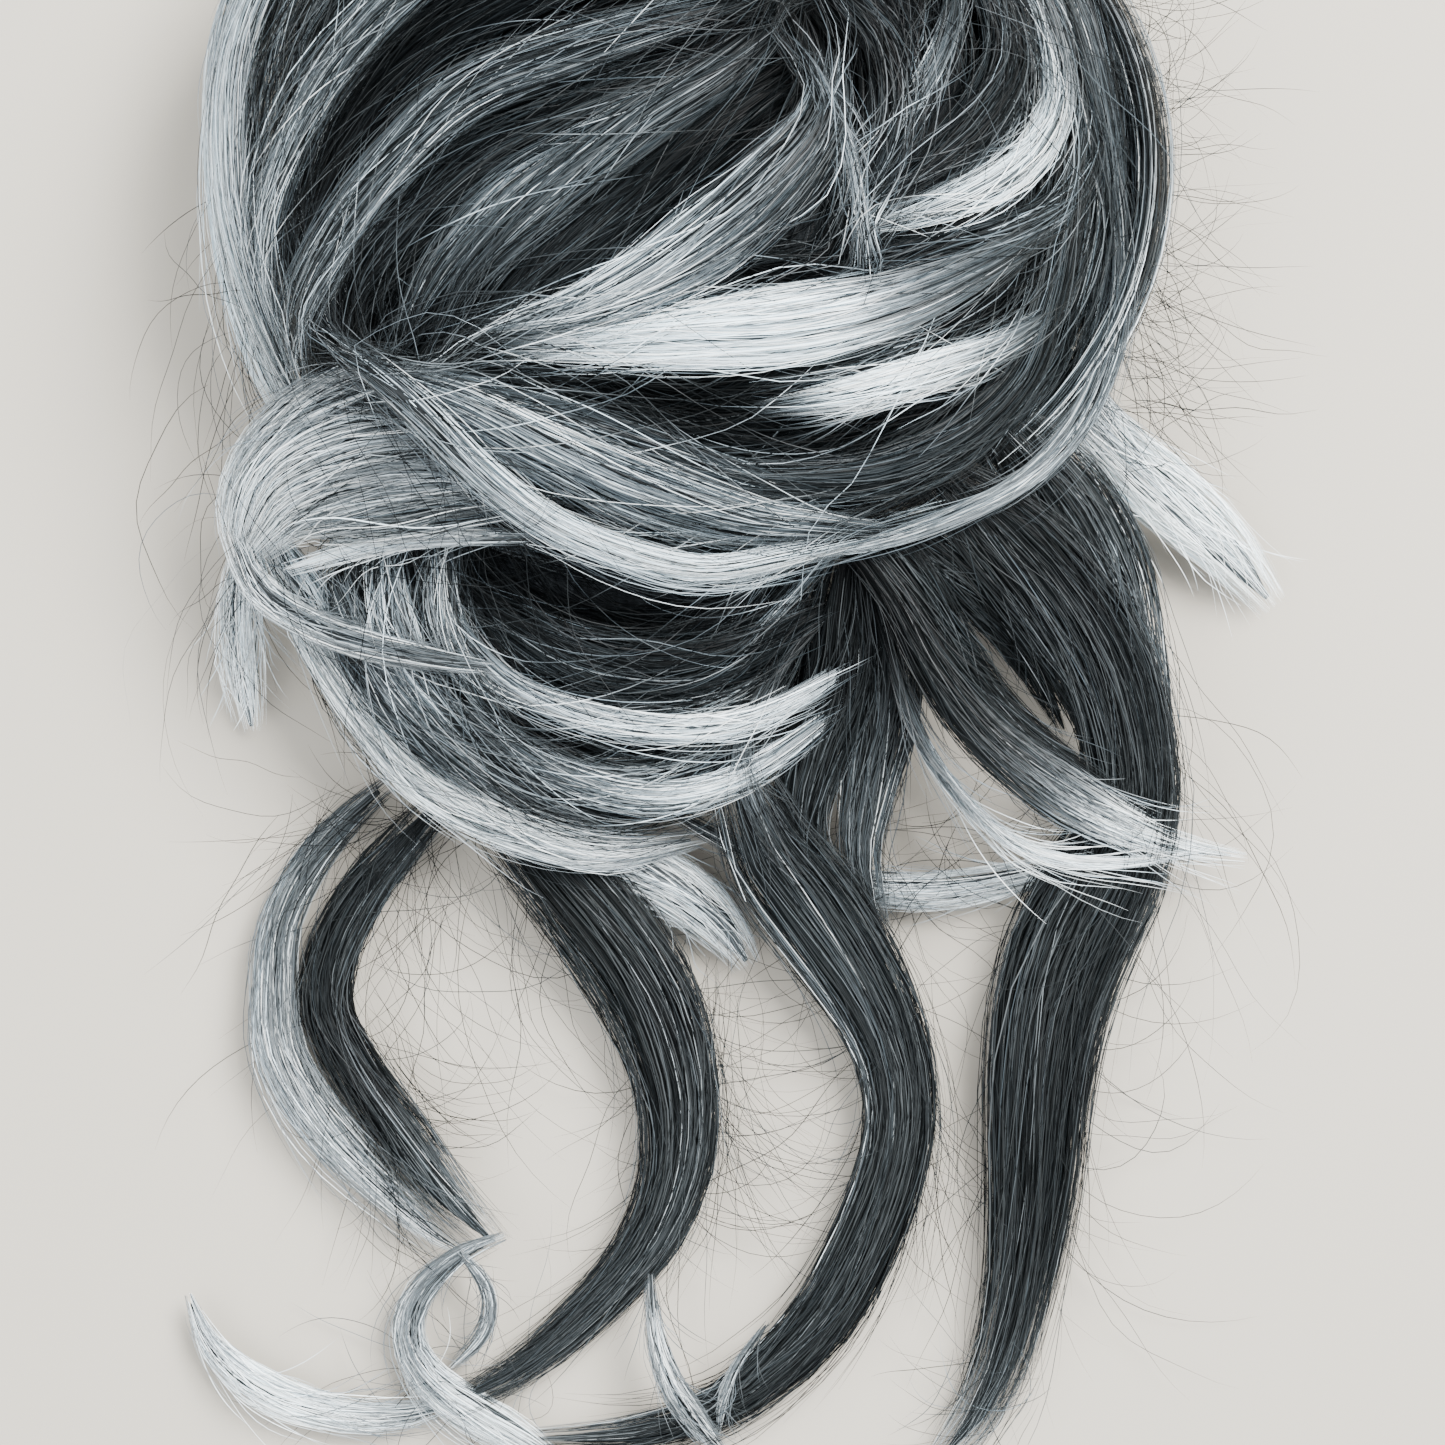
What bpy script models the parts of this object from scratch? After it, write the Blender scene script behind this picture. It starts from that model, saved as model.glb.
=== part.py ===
"""Messy bun hairpiece: a hollow heap of wound hair on an elastic band, with loose tendrils.

It lies face up on its flat underside. +Z points out of the bun, +Y to its crown, and the
tendrils run to -Y. Locks are listed from the top of the heap down: each one is cut clear of
those above it in the list.
"""
import math
from collections import namedtuple

import bmesh
import bpy
from mathutils import Vector

# Driving sizes, in metres
BUN_RADIUS = 0.0565
BUN_HEIGHT = 0.052
BUN_WAIST = 0.016
MOUND_HEIGHT = 0.025
MOUND_WAIST = 0.008
TENDRIL_DROP = 0.083
LOCK_WIDTH = 0.0104
LOCK_DEPTH = 0.0064
TENDRIL_WIDTH = 0.0100
TENDRIL_DEPTH = 0.0060
CAVITY_RADIUS = 0.023
CAVITY_DEPTH = 0.030
BAND_WIRE = 0.0040
BAND_LEVEL = 0.006
CLEARANCE = 0.0003

# Shares of the bun's radius at which the tendrils begin and end below its middle
BUN_EDGE = 1.5
TENDRIL_TIP = 3.0

# Mesh fineness
RING_SPACING = 0.0070
LOCK_SIDES = 8
DOME_SIDES = 28
DOME_RINGS = 7
CAVITY_RINGS = 4
BAND_TURNS = 24
BAND_SIDES = 6
CREASE_ANGLE = 50

# A rounded heap of hair: its middle and its radii over the locks, as shares of the bun's radius
Mound = namedtuple("Mound", "across up radius_across radius_up waist top")
MOUNDS = (
    Mound(0.00, 0.00, 1.00, 1.00, BUN_WAIST, BUN_HEIGHT),
    Mound(-0.22, -1.02, 0.68, 0.58, MOUND_WAIST, MOUND_HEIGHT),
)
# The flat base's share of a mound's radius, and how sharply one mound runs into the next
MOUND_BASE = 0.76
MOUND_BLEND = 6

# Width and depth are shares of a full lock's. Root and tip are shares of the lock's own width,
# which is full at the share full_at of its length.
Lock = namedtuple("Lock", "name tone width depth root full_at tip path")

# Locks wound on the mounds: the path holds (across, up), in shares of the bun's radius
WOUND_LOCKS = (
    Lock("lock_upper_right", "white", 0.52, 0.9, 0.5, 0.6, 0.5,
         ((0.30, 0.70), (0.64, 0.56), (0.83, 0.30), (0.85, 0.08), (0.74, -0.09), (0.46, -0.20))),
    Lock("lock_crest", "silver", 1.10, 1.1, 0.3, 0.5, 0.2,
         ((0.36, 0.10), (0.30, -0.11), (0.11, -0.28), (-0.15, -0.39), (-0.40, -0.42))),
    Lock("lock_white_wave", "white", 0.95, 1.0, 0.3, 0.5, 0.3,
         ((0.91, -0.08), (0.73, -0.28), (0.45, -0.42), (0.12, -0.47), (-0.28, -0.50))),
    Lock("lock_lower_wave", "white", 0.75, 0.9, 0.3, 0.5, 0.3,
         ((0.93, -0.23), (0.81, -0.40), (0.58, -0.52), (0.24, -0.58))),
    Lock("lock_centre", "grey", 1.10, 1.1, 0.4, 0.4, 0.2,
         ((0.25, 0.20), (0.06, 0.03), (-0.16, -0.14), (-0.36, -0.29), (-0.48, -0.42))),
    Lock("lock_left_arc", "silver", 0.85, 1.0, 0.5, 0.5, 0.4,
         ((0.16, 0.28), (-0.12, 0.22), (-0.38, 0.10), (-0.58, -0.10), (-0.70, -0.30), (-0.74, -0.44))),
    Lock("lock_inner_arc", "dark", 0.85, 0.9, 0.5, 0.5, 0.3,
         ((0.04, 0.17), (-0.24, 0.04), (-0.46, -0.15), (-0.60, -0.38))),
    Lock("lock_upper_arc", "dark", 0.95, 0.8, 0.5, 0.5, 0.4,
         ((0.18, 0.40), (-0.14, 0.36), (-0.44, 0.22), (-0.66, 0.00), (-0.78, -0.24))),
    Lock("lock_left_sweep", "grey", 0.90, 0.9, 0.4, 0.4, 0.5,
         ((0.24, 0.54), (-0.18, 0.52), (-0.52, 0.36), (-0.76, 0.08), (-0.86, -0.20), (-0.84, -0.38))),
    Lock("lock_crown", "dark", 1.00, 0.9, 0.5, 0.5, 0.4,
         ((0.36, 0.30), (0.48, 0.16), (0.48, -0.02), (0.36, -0.16))),
    Lock("lock_right_fold", "grey", 0.90, 0.9, 0.4, 0.4, 0.4,
         ((0.34, 0.50), (0.60, 0.38), (0.68, 0.15), (0.58, -0.04))),
    Lock("lock_right_under", "dark", 0.85, 0.9, 0.5, 0.4, 0.4,
         ((0.93, 0.06), (0.84, -0.15), (0.62, -0.28), (0.34, -0.32))),
    Lock("lock_right_inner", "grey", 0.95, 0.9, 0.5, 0.5, 0.3,
         ((0.92, -0.33), (0.80, -0.50), (0.58, -0.63), (0.32, -0.69), (0.02, -0.64))),
    Lock("lock_lower_band", "silver", 1.00, 0.9, 0.5, 0.4, 0.4,
         ((-0.58, -0.51), (-0.38, -0.61), (-0.14, -0.73), (0.14, -0.80), (0.42, -0.80))),
    Lock("lock_lower_s", "white", 0.60, 0.9, 0.5, 0.5, 0.5,
         ((-0.70, -0.44), (-0.48, -0.61), (-0.33, -0.78), (-0.12, -0.90), (0.14, -0.93), (0.42, -0.88))),
    Lock("lock_right_rim", "grey", 1.10, 1.0, 0.4, 0.5, 0.4,
         ((0.14, 0.88), (0.58, 0.72), (0.88, 0.38), (0.97, 0.00), (0.93, -0.33), (0.79, -0.61),
          (0.52, -0.82))),
    Lock("lock_left_rim", "pale", 1.10, 1.0, 0.4, 0.5, 0.5,
         ((0.08, 0.91), (-0.34, 0.85), (-0.70, 0.62), (-0.93, 0.25), (-0.94, -0.12), (-0.82, -0.47))),
    Lock("lock_top", "dark", 1.10, 0.9, 0.5, 0.5, 0.4,
         ((0.46, 0.66), (0.06, 0.74), (-0.32, 0.69), (-0.62, 0.48), (-0.80, 0.22))),
    Lock("lock_mound_upper", "white", 0.55, 0.8, 0.5, 0.5, 0.4,
         ((-0.50, -0.96), (-0.38, -1.16), (-0.14, -1.26), (0.12, -1.25), (0.36, -1.14))),
    Lock("lock_mound_lower", "silver", 0.65, 0.8, 0.5, 0.5, 0.4,
         ((-0.52, -1.18), (-0.34, -1.34), (-0.08, -1.41), (0.16, -1.36), (0.36, -1.24))),
    Lock("lock_mound_inner", "dark", 0.80, 0.8, 0.5, 0.5, 0.4,
         ((-0.36, -1.00), (-0.16, -1.10), (0.10, -1.11), (0.36, -1.00))),
    Lock("lock_mound_left", "pale", 0.85, 0.8, 0.5, 0.5, 0.4,
         ((-0.72, -0.96), (-0.66, -1.12), (-0.54, -1.26), (-0.38, -1.40))),
)

# Locks round the bun's waist, which show from the sides: from and to are angles in degrees from +X,
# and out is how far the middle of the lock stands outside the bun, as a share of its radius.
WaistLock = namedtuple("WaistLock", "name tone start stop out_start out_middle out_stop")
WAIST_LOCKS = (
    WaistLock("waist_right", "grey", -46, 46, 0.03, 0.00, 0.03),
    WaistLock("waist_top", "dark", 50, 132, 0.03, 0.00, 0.03),
    WaistLock("waist_left", "grey", 136, 218, 0.03, 0.00, 0.03),
    WaistLock("waist_outer_right", "pale", -36, 20, 0.13, 0.17, 0.12),
)
WAIST_LOCK_WIDTH = 1.50

# Locks that leave the mounds: the path holds (across, up, height). Across and up are shares of the
# bun's radius, past its edge on to the tendrils' tips, and height is a share of the bun's height.
FREE_LOCKS = (
    Lock("fold_fan", "pale", 1.50, 1.0, 0.5, 0.6, 0.3,
         ((-0.36, -0.78, 0.60), (-0.60, -0.73, 0.50), (-0.80, -0.76, 0.40), (-0.95, -0.84, 0.32))),
    Lock("fold_return", "white", 0.42, 0.7, 0.8, 0.4, 0.6,
         ((-0.96, -0.90, 0.28), (-0.83, -1.02, 0.33), (-0.62, -1.09, 0.43), (-0.42, -1.12, 0.50))),
    Lock("lock_mound_edge", "pale", 0.72, 0.8, 0.5, 0.5, 0.4,
         ((-0.87, -0.96, 0.18), (-0.78, -1.18, 0.20), (-0.56, -1.41, 0.22), (-0.28, -1.55, 0.19),
          (0.04, -1.55, 0.16))),
    Lock("flick_upper_right", "white", 0.68, 0.6, 0.6, 0.5, 0.12,
         ((0.84, -0.44, 0.20), (1.02, -0.64, 0.16), (1.20, -0.78, 0.12), (1.38, -0.95, 0.05))),
    Lock("flick_lower_right", "white", 0.50, 0.6, 0.6, 0.4, 0.15,
         ((0.24, -0.74, 0.38), (0.54, -1.08, 0.42), (0.74, -1.28, 0.42), (1.00, -1.44, 0.37),
          (1.32, -1.54, 0.20))),
    Lock("flick_under_right", "pale", 0.50, 0.6, 0.4, 0.5, 0.5,
         ((0.92, -1.55, 0.06), (0.70, -1.63, 0.06), (0.44, -1.64, 0.06), (0.18, -1.54, 0.06),
          (-0.04, -1.42, 0.08))),
    Lock("flick_under_centre", "pale", 0.60, 0.5, 0.6, 0.4, 0.2,
         ((-0.20, -1.46, 0.08), (-0.06, -1.56, 0.10), (0.08, -1.66, 0.09), (0.18, -1.77, 0.06))),
    Lock("tendril_right", "dark", 1.70, 1.2, 0.60, 0.5, 0.15,
         ((0.46, -0.72, 0.44), (0.72, -0.90, 0.38), (0.96, -1.14, 0.29), (1.06, -1.42, 0.20),
          (0.96, -1.72, 0.13), (0.86, -2.05, 0.09), (0.84, -2.43, 0.08), (0.77, -2.76, 0.07),
          (0.63, -3.00, 0.05))),
    Lock("tendril_centre", "dark", 1.15, 1.1, 0.8, 0.2, 0.12,
         ((0.10, -1.28, 0.28), (0.26, -1.58, 0.22), (0.44, -1.84, 0.13), (0.54, -2.12, 0.09),
          (0.47, -2.38, 0.08), (0.28, -2.65, 0.08), (-0.02, -2.83, 0.06), (-0.33, -2.90, 0.05))),
    Lock("tendril_middle", "dark", 1.20, 1.0, 0.7, 0.4, 0.15,
         ((-0.42, -1.34, 0.22), (-0.20, -1.65, 0.14), (-0.04, -1.92, 0.10), (0.03, -2.18, 0.09),
          (-0.07, -2.46, 0.08), (-0.29, -2.67, 0.07), (-0.49, -2.80, 0.06))),
    Lock("tendril_left_dark", "dark", 0.85, 0.9, 0.6, 0.6, 0.4,
         ((-0.42, -1.34, 0.10), (-0.66, -1.63, 0.09), (-0.77, -1.90, 0.09), (-0.68, -2.14, 0.09),
          (-0.44, -2.44, 0.09))),
    Lock("tendril_left_pale", "pale", 0.60, 0.8, 0.5, 0.5, 0.2,
         ((-0.58, -1.30, 0.10), (-0.82, -1.57, 0.09), (-0.94, -1.86, 0.08), (-0.88, -2.11, 0.08),
          (-0.70, -2.34, 0.08), (-0.51, -2.47, 0.08))),
    Lock("curl_loop", "white", 0.46, 0.6, 0.4, 0.7, 0.2,
         ((-0.38, -2.46, 0.11), (-0.54, -2.55, 0.07), (-0.59, -2.70, 0.05), (-0.51, -2.84, 0.05),
          (-0.38, -2.92, 0.05), (-0.24, -2.98, 0.04))),
    Lock("curl_inner", "white", 0.20, 0.5, 0.7, 0.5, 0.6,
         ((-0.43, -2.50, 0.14), (-0.38, -2.59, 0.12), (-0.42, -2.69, 0.09), (-0.51, -2.76, 0.08))),
    Lock("curl_left", "white", 0.36, 0.5, 0.3, 0.5, 0.5,
         ((-1.08, -2.58, 0.05), (-1.01, -2.71, 0.05), (-0.84, -2.80, 0.05), (-0.54, -2.83, 0.04))),
    Lock("curl_end_near", "pale", 0.30, 0.5, 0.4, 0.6, 0.3,
         ((-0.03, -2.55, 0.05), (-0.02, -2.68, 0.10), (0.02, -2.81, 0.16), (0.13, -2.95, 0.05))),
)

COLORS = {
    "dark": (0.035, 0.042, 0.045),
    "grey": (0.16, 0.18, 0.19),
    "silver": (0.42, 0.46, 0.48),
    "pale": (0.58, 0.63, 0.64),
    "white": (0.78, 0.82, 0.84),
    "band": (0.02, 0.02, 0.02),
}
HAIR_ROUGHNESS = 0.5
BAND_ROUGHNESS = 0.8


def clear_scene():
    for obj in list(bpy.data.objects):
        bpy.data.objects.remove(obj, do_unlink=True)


def material(name, tone, roughness):
    """Makes a Principled material in one of the tones."""
    mat = bpy.data.materials.new(name)
    mat.use_nodes = True
    shader = mat.node_tree.nodes["Principled BSDF"]
    shader.inputs["Base Color"].default_value = (*COLORS[tone], 1.0)
    shader.inputs["Roughness"].default_value = roughness
    shader.inputs["Metallic"].default_value = 0.0
    return mat


def turns(count):
    """Angles of evenly spaced points round a circle."""
    return [2 * math.pi * k / count for k in range(count)]


def object_from(name, bm):
    """Turns a bmesh into an object with its faces pointing out."""
    bmesh.ops.recalc_face_normals(bm, faces=bm.faces[:])
    mesh = bpy.data.meshes.new(name)
    bm.to_mesh(mesh)
    bm.free()
    obj = bpy.data.objects.new(name, mesh)
    bpy.context.scene.collection.objects.link(obj)
    return obj


def skin(rings, first_tip, last_tip):
    """Joins rings of points with faces and closes each end with a pointed fan."""
    bm = bmesh.new()
    loops = [[bm.verts.new(point) for point in ring] for ring in rings]
    count = len(loops[0])
    for near, far in zip(loops, loops[1:]):
        for i in range(count):
            j = (i + 1) % count
            bm.faces.new((near[i], near[j], far[j], far[i]))
    for loop, tip in ((loops[0], first_tip), (loops[-1], last_tip)):
        point = bm.verts.new(tip)
        for i in range(count):
            bm.faces.new((loop[i], loop[(i + 1) % count], point))
    return bm


def up_from_middle(share):
    """Y of a share of the bun's radius, which past the bun's edge runs on to the tendrils' tips."""
    if share >= -BUN_EDGE:
        return share * BUN_RADIUS
    past = (-share - BUN_EDGE) / (TENDRIL_TIP - BUN_EDGE)
    return -BUN_EDGE * BUN_RADIUS - past * TENDRIL_DROP


def core_radii(mound):
    """Radii and rise of a mound's core, a lock's depth inside the heap's outer face."""
    return (mound.radius_across * BUN_RADIUS - LOCK_DEPTH,
            mound.radius_up * BUN_RADIUS - LOCK_DEPTH,
            mound.top - LOCK_DEPTH - mound.waist)


def core_point(mound, across, up):
    """Point on a mound's core under a place given in shares, and the outward direction there."""
    u = (across - mound.across) / mound.radius_across
    v = (up - mound.up) / mound.radius_up
    reach = math.hypot(u, v)
    if reach > 1:
        u, v = u / reach, v / reach
    lift = math.sqrt(max(0.0, 1 - u * u - v * v))
    radius_across, radius_up, rise = core_radii(mound)
    point = Vector((mound.across * BUN_RADIUS + u * radius_across, mound.up * BUN_RADIUS + v * radius_up,
                    mound.waist + rise * lift))
    normal = Vector((u / radius_across, v / radius_up, lift / rise)).normalized()
    return point, normal, reach


def heap_at(across, up):
    """Point on the blended cores of the mounds, and the outward direction there."""
    total = 0.0
    middle = Vector((0, 0, 0))
    outward = Vector((0, 0, 0))
    for mound in MOUNDS:
        point, normal, reach = core_point(mound, across, up)
        weight = (point.z / BUN_HEIGHT / max(1.0, reach) ** 2) ** MOUND_BLEND
        total += weight
        middle += point * weight
        outward += normal * weight
    middle /= total
    middle.z = max(middle.z, BUN_HEIGHT * total ** (1 / MOUND_BLEND))
    return middle, outward.normalized()


def curve_point(points, i, t):
    """Catmull-Rom curve through the points, at share t of the span after point i."""
    start = points[i]
    end = points[i + 1]
    before = points[i - 1] if i > 0 else start * 2 - end
    after = points[i + 2] if i + 2 < len(points) else end * 2 - start
    return 0.5 * (2 * start + (end - before) * t
                  + (2 * before - 5 * start + 4 * end - after) * t * t
                  + (3 * start - before - 3 * end + after) * t * t * t)


def even_curve(points, spacing):
    """Points on a smooth curve through the given ones, about evenly spaced."""
    fine = 12
    dense = [curve_point(points, i, k / fine) for i in range(len(points) - 1) for k in range(fine)]
    dense.append(points[-1].copy())
    lengths = [0.0]
    for a, b in zip(dense, dense[1:]):
        lengths.append(lengths[-1] + (b - a).length)
    count = max(3, round(lengths[-1] / spacing))
    result = []
    k = 0
    for step in range(count + 1):
        goal = lengths[-1] * step / count
        while k < len(dense) - 2 and lengths[k + 1] < goal:
            k += 1
        share = (goal - lengths[k]) / (lengths[k + 1] - lengths[k])
        result.append(dense[k].lerp(dense[k + 1], min(1.0, share)))
    return result


def swell(lock, t):
    """Width share along a lock: it grows from the root, is full once and narrows to the tip."""
    if t < lock.full_at:
        near, far = lock.root, t / lock.full_at
    else:
        near, far = lock.tip, (1 - t) / (1 - lock.full_at)
    return near + (1 - near) * math.sin(far * math.pi / 2)


def lock_body(lock, route, full_width, full_depth, grow):
    """Lofts a lock along its route of (point, outward direction) pairs; grow widens it all round."""
    points = [point for point, outward in route]
    rings = []
    last = len(points) - 1
    for i, (centre, outward) in enumerate(route):
        along = (points[min(i + 1, last)] - points[max(i - 1, 0)]).normalized()
        side = along.cross(outward).normalized()
        normal = side.cross(along)
        size = swell(lock, i / last)
        half_width = lock.width * full_width * size / 2 + grow
        half_depth = lock.depth * full_depth * (0.4 + 0.6 * size) / 2 + grow
        rings.append([centre + side * (half_width * math.cos(turn)) + normal * (half_depth * math.sin(turn))
                      for turn in turns(LOCK_SIDES)])
    first_tip = points[0] + (points[0] - points[1]).normalized() * (lock.root * full_width / 3 + grow)
    last_tip = points[-1] + (points[-1] - points[-2]).normalized() * (lock.tip * full_width / 3 + grow)
    return skin(rings, first_tip, last_tip)


def wound_route(lock):
    """Route of a lock that lies wound on the cores of the mounds."""
    places = even_curve([Vector((across, up, 0)) for across, up in lock.path],
                        RING_SPACING / BUN_RADIUS)
    half_depth = lock.depth * LOCK_DEPTH / 2
    route = []
    for place in places:
        point, outward = heap_at(place.x, place.y)
        route.append((point + outward * (half_depth + CLEARANCE), outward))
    return route


def free_route(lock):
    """Route of a free lock, which comes no lower than the surface that the bun lies on."""
    points = even_curve([Vector((across * BUN_RADIUS, up_from_middle(up), height * BUN_HEIGHT))
                         for across, up, height in lock.path], RING_SPACING)
    half_depth = lock.depth * TENDRIL_DEPTH / 2
    route = []
    for point in points:
        point.z = max(point.z, half_depth + CLEARANCE)
        route.append((point, Vector((0, 0, 1))))
    return route


def waist_route(waist_lock):
    """Route of a lock round the bun's waist, in an arc that its middle can stand out from."""
    radius, _, _ = core_radii(MOUNDS[0])
    outs = (waist_lock.out_start, waist_lock.out_middle, waist_lock.out_stop)
    points = []
    for k, out in enumerate(outs):
        turn = math.radians(waist_lock.start + (waist_lock.stop - waist_lock.start) * k / 2)
        reach = radius + LOCK_DEPTH / 2 + CLEARANCE + out * BUN_RADIUS
        points.append((turn, reach))
    count = max(4, round(radius * (points[2][0] - points[0][0]) / RING_SPACING))
    route = []
    for step in range(count + 1):
        t = step / count
        turn = points[0][0] + (points[2][0] - points[0][0]) * t
        bow = math.sin(math.pi * t)
        ends = points[0][1] + (points[2][1] - points[0][1]) * t
        middle_rise = points[1][1] - (points[0][1] + points[2][1]) / 2
        outward = Vector((math.cos(turn), math.sin(turn), 0))
        route.append((outward * (ends + middle_rise * bow) + Vector((0, 0, BUN_WAIST)), outward))
    return route


def core_mound(mound):
    """Closed body of one mound's core, with a flat base."""
    radius_across, radius_up, rise = core_radii(mound)
    levels = [(MOUND_BASE, 0), ((1 + MOUND_BASE) / 2, mound.waist / 3)]
    levels += [(math.cos(turn), mound.waist + rise * math.sin(turn))
               for turn in (math.pi / 2 * k / DOME_RINGS for k in range(DOME_RINGS))]
    middle = Vector((mound.across * BUN_RADIUS, mound.up * BUN_RADIUS, 0))
    rings = [[middle + Vector((radius_across * share * math.cos(turn),
                               radius_up * share * math.sin(turn), height))
              for turn in turns(DOME_SIDES)] for share, height in levels]
    return skin(rings, middle, middle + Vector((0, 0, mound.waist + rise)))


def cavity():
    """Space under the bun that goes over the wearer's own hair: round, with a domed top."""
    straight = CAVITY_DEPTH / 3
    dome = CAVITY_DEPTH - straight
    levels = [(CAVITY_RADIUS, -straight), (CAVITY_RADIUS, straight)]
    levels += [(CAVITY_RADIUS * math.cos(turn), straight + dome * math.sin(turn))
               for turn in (math.pi / 2 * k / (CAVITY_RINGS + 1) for k in range(1, CAVITY_RINGS + 1))]
    rings = [[Vector((radius * math.cos(turn), radius * math.sin(turn), height))
              for turn in turns(DOME_SIDES)] for radius, height in levels]
    return skin(rings, Vector((0, 0, -2 * straight)), Vector((0, 0, CAVITY_DEPTH)))


def band_ring(wire):
    """Elastic ring of a given thickness, let into the wall round the mouth of the cavity."""
    bm = bmesh.new()
    loops = []
    for turn in turns(BAND_TURNS):
        outward = Vector((math.cos(turn), math.sin(turn), 0))
        loops.append([bm.verts.new(outward * (CAVITY_RADIUS + wire / 2 * math.cos(roll))
                                   + Vector((0, 0, BAND_LEVEL + wire / 2 * math.sin(roll))))
                      for roll in turns(BAND_SIDES)])
    for i, loop in enumerate(loops):
        after = loops[(i + 1) % BAND_TURNS]
        for n in range(BAND_SIDES):
            m = (n + 1) % BAND_SIDES
            bm.faces.new((loop[n], loop[m], after[m], after[n]))
    return bm


def keep_main_body(bm):
    """Deletes the crumbs that a cut leaves, which are far smaller than the lock itself."""
    seen = set()
    bodies = []
    for vert in bm.verts:
        if vert in seen:
            continue
        body = []
        queue = [vert]
        seen.add(vert)
        while queue:
            item = queue.pop()
            body.append(item)
            for edge in item.link_edges:
                other = edge.other_vert(item)
                if other not in seen:
                    seen.add(other)
                    queue.append(other)
        bodies.append(body)
    bodies.sort(key=len)
    for body in bodies[:-1]:
        bmesh.ops.delete(bm, geom=body, context="VERTS")


def combine(obj, others, operation):
    """Applies a Boolean with each of the other objects in turn."""
    for other in others:
        change = obj.modifiers.new("cut", "BOOLEAN")
        change.operation = operation
        change.solver = "EXACT"
        change.object = other
        evaluated = obj.evaluated_get(bpy.context.evaluated_depsgraph_get())
        mesh = bpy.data.meshes.new_from_object(evaluated)
        obj.modifiers.remove(change)
        bm = bmesh.new()
        bm.from_mesh(mesh)
        keep_main_body(bm)
        bm.to_mesh(mesh)
        bm.free()
        obj.data = mesh


def box_of(obj):
    corners = [vert.co for vert in obj.data.vertices]
    low = [min(corner[k] for corner in corners) for k in range(3)]
    high = [max(corner[k] for corner in corners) for k in range(3)]
    return low, high


def boxes_meet(first, second):
    low_a, high_a = box_of(first)
    low_b, high_b = box_of(second)
    return all(low_a[k] < high_b[k] and low_b[k] < high_a[k] for k in range(3))


def lock_plans():
    """Every lock in order from the top of the heap down, with its route and full section."""
    plans = [(lock, wound_route(lock), LOCK_WIDTH, LOCK_DEPTH) for lock in WOUND_LOCKS]
    plans += [(lock, free_route(lock), TENDRIL_WIDTH, TENDRIL_DEPTH) for lock in FREE_LOCKS]
    for waist_lock in WAIST_LOCKS:
        lock = Lock(waist_lock.name, waist_lock.tone, WAIST_LOCK_WIDTH, 1.0, 0.4, 0.5, 0.4, ())
        plans.append((lock, waist_route(waist_lock), LOCK_WIDTH, LOCK_DEPTH))
    return plans


def make_locks():
    """Makes the locks, each cut clear of those above it, and their grown twins."""
    locks = []
    twins = []
    for lock, route, full_width, full_depth in lock_plans():
        body = object_from(lock.name, lock_body(lock, route, full_width, full_depth, 0))
        combine(body, [twin for twin in twins if boxes_meet(body, twin)], "DIFFERENCE")
        body.data.materials.clear()
        body.data.materials.append(material(lock.name, lock.tone, HAIR_ROUGHNESS))
        locks.append(body)
        twins.append(object_from("cutter", lock_body(lock, route, full_width, full_depth, CLEARANCE)))
    return locks, twins


def make_bun(twins):
    """Hollow heap of hair, cut clear of the locks and the band that are seated in it."""
    bun = object_from("bun", core_mound(MOUNDS[0]))
    others = [object_from("heap", core_mound(mound)) for mound in MOUNDS[1:]]
    combine(bun, others, "UNION")
    cutters = [object_from("cutter", cavity()), object_from("cutter", band_ring(BAND_WIRE + 2 * CLEARANCE))]
    combine(bun, cutters + twins, "DIFFERENCE")
    for obj in others + cutters + twins:
        bpy.data.objects.remove(obj, do_unlink=True)
    bun.data.materials.clear()
    bun.data.materials.append(material("bun", "dark", HAIR_ROUGHNESS))
    return bun


def make_band():
    band = object_from("elastic_band", band_ring(BAND_WIRE))
    band.data.materials.append(material("elastic_band", "band", BAND_ROUGHNESS))
    return band


def stand_on_origin(pieces):
    """Sets the middle of the whole hairpiece's base at the origin, through one empty."""
    boxes = [box_of(piece) for piece in pieces]
    low = [min(box[0][k] for box in boxes) for k in range(3)]
    high = [max(box[1][k] for box in boxes) for k in range(3)]
    frame = bpy.data.objects.new("hairpiece", None)
    bpy.context.scene.collection.objects.link(frame)
    frame.location = (-(low[0] + high[0]) / 2, -(low[1] + high[1]) / 2, -low[2])
    for piece in pieces:
        piece.parent = frame
        piece.data.shade_smooth()
        piece.data.set_sharp_from_angle(angle=math.radians(CREASE_ANGLE))


clear_scene()
locks, twins = make_locks()
pieces = [make_bun(twins), make_band()] + locks
stand_on_origin(pieces)
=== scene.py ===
import math
from collections import namedtuple

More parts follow.
